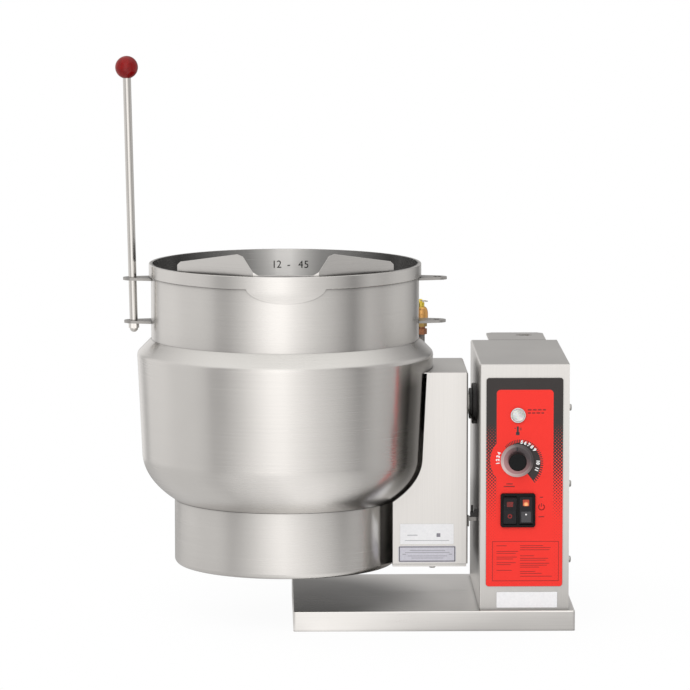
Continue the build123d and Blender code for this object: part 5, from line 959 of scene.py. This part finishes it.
tone = node(tree, "ShaderNodeMapRange", {"Value": lathe.outputs["Fac"], "To Min": 0.82, "To Max": 1.1})
tint = node(tree, "ShaderNodeMix", {0: 1.0, 6: lower.outputs[2], 7: tone.outputs[0]}, data_type="RGBA",
            blend_type="MULTIPLY")
feed(tree, Base_Color=tint.outputs[2])
dull = node(tree, "ShaderNodeMapRange", {"Value": lathe.outputs["Fac"], "To Min": 0.24, "To Max": 0.4})
feed(tree, Roughness=dull.outputs[0])
dress(brass, "valve_body", "valve_stem", "filling_plug", "jacket_probes")
dress(bar_steel, "valve_ring")


# ---------------------------------------------------------------- pressure gauge
# A chromed gauge behind the rim: white enamelled face with a printed arc of ticks and
# plain figures, a black pointer, and a flat glass.
GAUGE_OUT = Vector((-0.46947, 0.88295, 0))
GAUGE_REACH = 0.22505
GAUGE_Z = 0.496
GAUGE_FACE = VESSEL_AXIS + GAUGE_OUT * GAUGE_REACH + Vector((0, 0, GAUGE_Z))
GAUGE_RIGHT = Vector((0, 0, 1)).cross(GAUGE_OUT)
GAUGE_STEP = math.radians(9)
GAUGE_END = math.radians(137)
TICK_MIDDLE = 0.0195
TICK_HALF = 0.0014
# White enamel under clear lacquer, a little yellowed in places.
enamel, tree, place = new_finish("printed_gauge_enamel", Coat_Weight=0.2)
from_face = node(tree, "ShaderNodeVectorMath", {0: place, 1: GAUGE_FACE}, operation="SUBTRACT")
aside = node(tree, "ShaderNodeVectorMath", {0: from_face.outputs[0], 1: GAUGE_RIGHT}, operation="DOT_PRODUCT")
rise = node(tree, "ShaderNodeSeparateXYZ", {0: from_face.outputs[0]})
clock = node(tree, "ShaderNodeMath", {0: aside.outputs["Value"], 1: rise.outputs["Z"]}, operation="ARCTAN2")
squared_x = node(tree, "ShaderNodeMath", {0: aside.outputs["Value"], 1: 2.0}, operation="POWER")
squared_z = node(tree, "ShaderNodeMath", {0: rise.outputs["Z"], 1: 2.0}, operation="POWER")
squares = node(tree, "ShaderNodeMath", {0: squared_x.outputs[0], 1: squared_z.outputs[0]}, operation="ADD")
radius = node(tree, "ShaderNodeMath", {0: squares.outputs[0]}, operation="SQRT")
ring = node(tree, "ShaderNodeMath", {0: radius.outputs[0], 1: TICK_MIDDLE, 2: TICK_HALF}, operation="COMPARE")
turns = node(tree, "ShaderNodeMath", {0: clock.outputs[0], 1: 2 * math.pi / GAUGE_STEP}, operation="MULTIPLY")
wave = node(tree, "ShaderNodeMath", {0: turns.outputs[0]}, operation="COSINE")
comb = node(tree, "ShaderNodeMath", {0: wave.outputs[0], 1: 0.8}, operation="GREATER_THAN")
spread = node(tree, "ShaderNodeMath", {0: clock.outputs[0]}, operation="ABSOLUTE")
in_arc = node(tree, "ShaderNodeMath", {0: spread.outputs[0], 1: GAUGE_END}, operation="LESS_THAN")
ticks = node(tree, "ShaderNodeMath", {0: ring.outputs[0], 1: comb.outputs[0]}, operation="MULTIPLY")
scale = node(tree, "ShaderNodeMath", {0: ticks.outputs[0], 1: in_arc.outputs[0]}, operation="MULTIPLY")
ageing = node(tree, "ShaderNodeTexNoise", {"Vector": place, "Scale": 80.0, "Detail": 3.0})
ground = node(tree, "ShaderNodeMix", {0: ageing.outputs["Fac"], 6: linear("#E3E2DC"), 7: linear("#F4F3EF")},
              data_type="RGBA")
face_ink = node(tree, "ShaderNodeMix", {0: scale.outputs[0], 6: ground.outputs[2], 7: linear("#1D1C1C")},
                data_type="RGBA")
feed(tree, Base_Color=face_ink.outputs[2])
dull = node(tree, "ShaderNodeMapRange", {"Value": ageing.outputs["Fac"], "To Min": 0.3, "To Max": 0.45})
feed(tree, Roughness=dull.outputs[0])
dress(enamel, "gauge_dial")

FACE_TURN = Matrix((
    (GAUGE_RIGHT.x, 0, GAUGE_OUT.x, 0),
    (GAUGE_RIGHT.y, 0, GAUGE_OUT.y, 0),
    (0, 1, 0, 0),
    (0, 0, 0, 1),
))
FACE_LIFT = 0.0001
FIGURE_RING = 0.0145
GAUGE_TALL = 0.0042
GAUGE_THICKEN = 0.0001
for figure, degrees in (("0", -135), ("1", -81), ("2", -27), ("3", 27), ("4", 81), ("5", 135)):
    turn = math.radians(degrees)
    spot = GAUGE_FACE + GAUGE_OUT * FACE_LIFT + GAUGE_RIGHT * (FIGURE_RING * math.sin(turn))
    spot.z += FIGURE_RING * math.cos(turn)
    lettering(f"gauge_figure_{figure}", figure, GAUGE_TALL, GAUGE_THICKEN,
              Matrix.Translation(spot) @ FACE_TURN, black_ink, "kettle")

# Float glass, clear and very slightly green, with a thin film on it.
glass = mottled("flat_gauge_glass", "#F0F5F4", "#FBFDFD", 0.02, 0.07, scale=60.0, Transmission_Weight=1.0)
dress(glass, "gauge_glass")


# ---------------------------------------------------------------- electrics
# Inside the console a zinc-plated panel carries the contactor, terminal block,
# transformer and level board; a cast zinc conduit hub closes the cable hole.

# Rolled zinc-plated sheet shows pale spangles.
zinc_plate, tree, place = new_finish("spangled_zinc_plate", Metallic=1.0)
spangle = node(tree, "ShaderNodeTexVoronoi", {"Vector": place, "Scale": 110.0})
two_tone(tree, spangle.outputs["Distance"], "#A3A7AB", "#C6CACD", 0.32, 0.46)
dress(zinc_plate, "component_panel", "thermostat")

# Die-cast zinc is a soft even grey.
cast_zinc = mottled("die_cast_zinc", "#8C8E90", "#ABADAF", 0.38, 0.52, scale=350.0, detail=4, Metallic=1.0)
dress(cast_zinc, "conduit_hub")

# Glass-filled polyester moulding is near black, with pale fibres in its skin.
glass_filled = mottled("glass_filled_moulding", "#202226", "#34363B", 0.45, 0.6, scale=650.0, detail=4)
dress(glass_filled, "contactor", "terminal_block")

# Varnished steel laminations show as thin dark leaves.
laminations, tree, place = new_finish("varnished_laminations", Metallic=0.6)
leaves = node(tree, "ShaderNodeTexWave", {"Vector": place, "Scale": 320.0}, bands_direction="Y")
two_tone(tree, leaves.outputs["Fac"], "#2B2A2A", "#6A6765", 0.35, 0.5)
dress(laminations, "transformer")

# Solder mask over copper tracks: green blocks under a thin gloss.
circuit_board, tree, place = new_finish("solder_masked_board", Coat_Weight=0.3)
tracks = node(tree, "ShaderNodeTexBrick", {"Vector": place, "Scale": 260.0,
              "Color1": linear("#1F6B38"), "Color2": linear("#2A7C45"), "Mortar": linear("#175329")})
feed(tree, Base_Color=tracks.outputs["Color"])
weave = node(tree, "ShaderNodeTexNoise", {"Vector": place, "Scale": 700.0})
dull = node(tree, "ShaderNodeMapRange", {"Value": weave.outputs["Fac"], "To Min": 0.3, "To Max": 0.42})
feed(tree, Roughness=dull.outputs[0])
dress(circuit_board, "level_board")
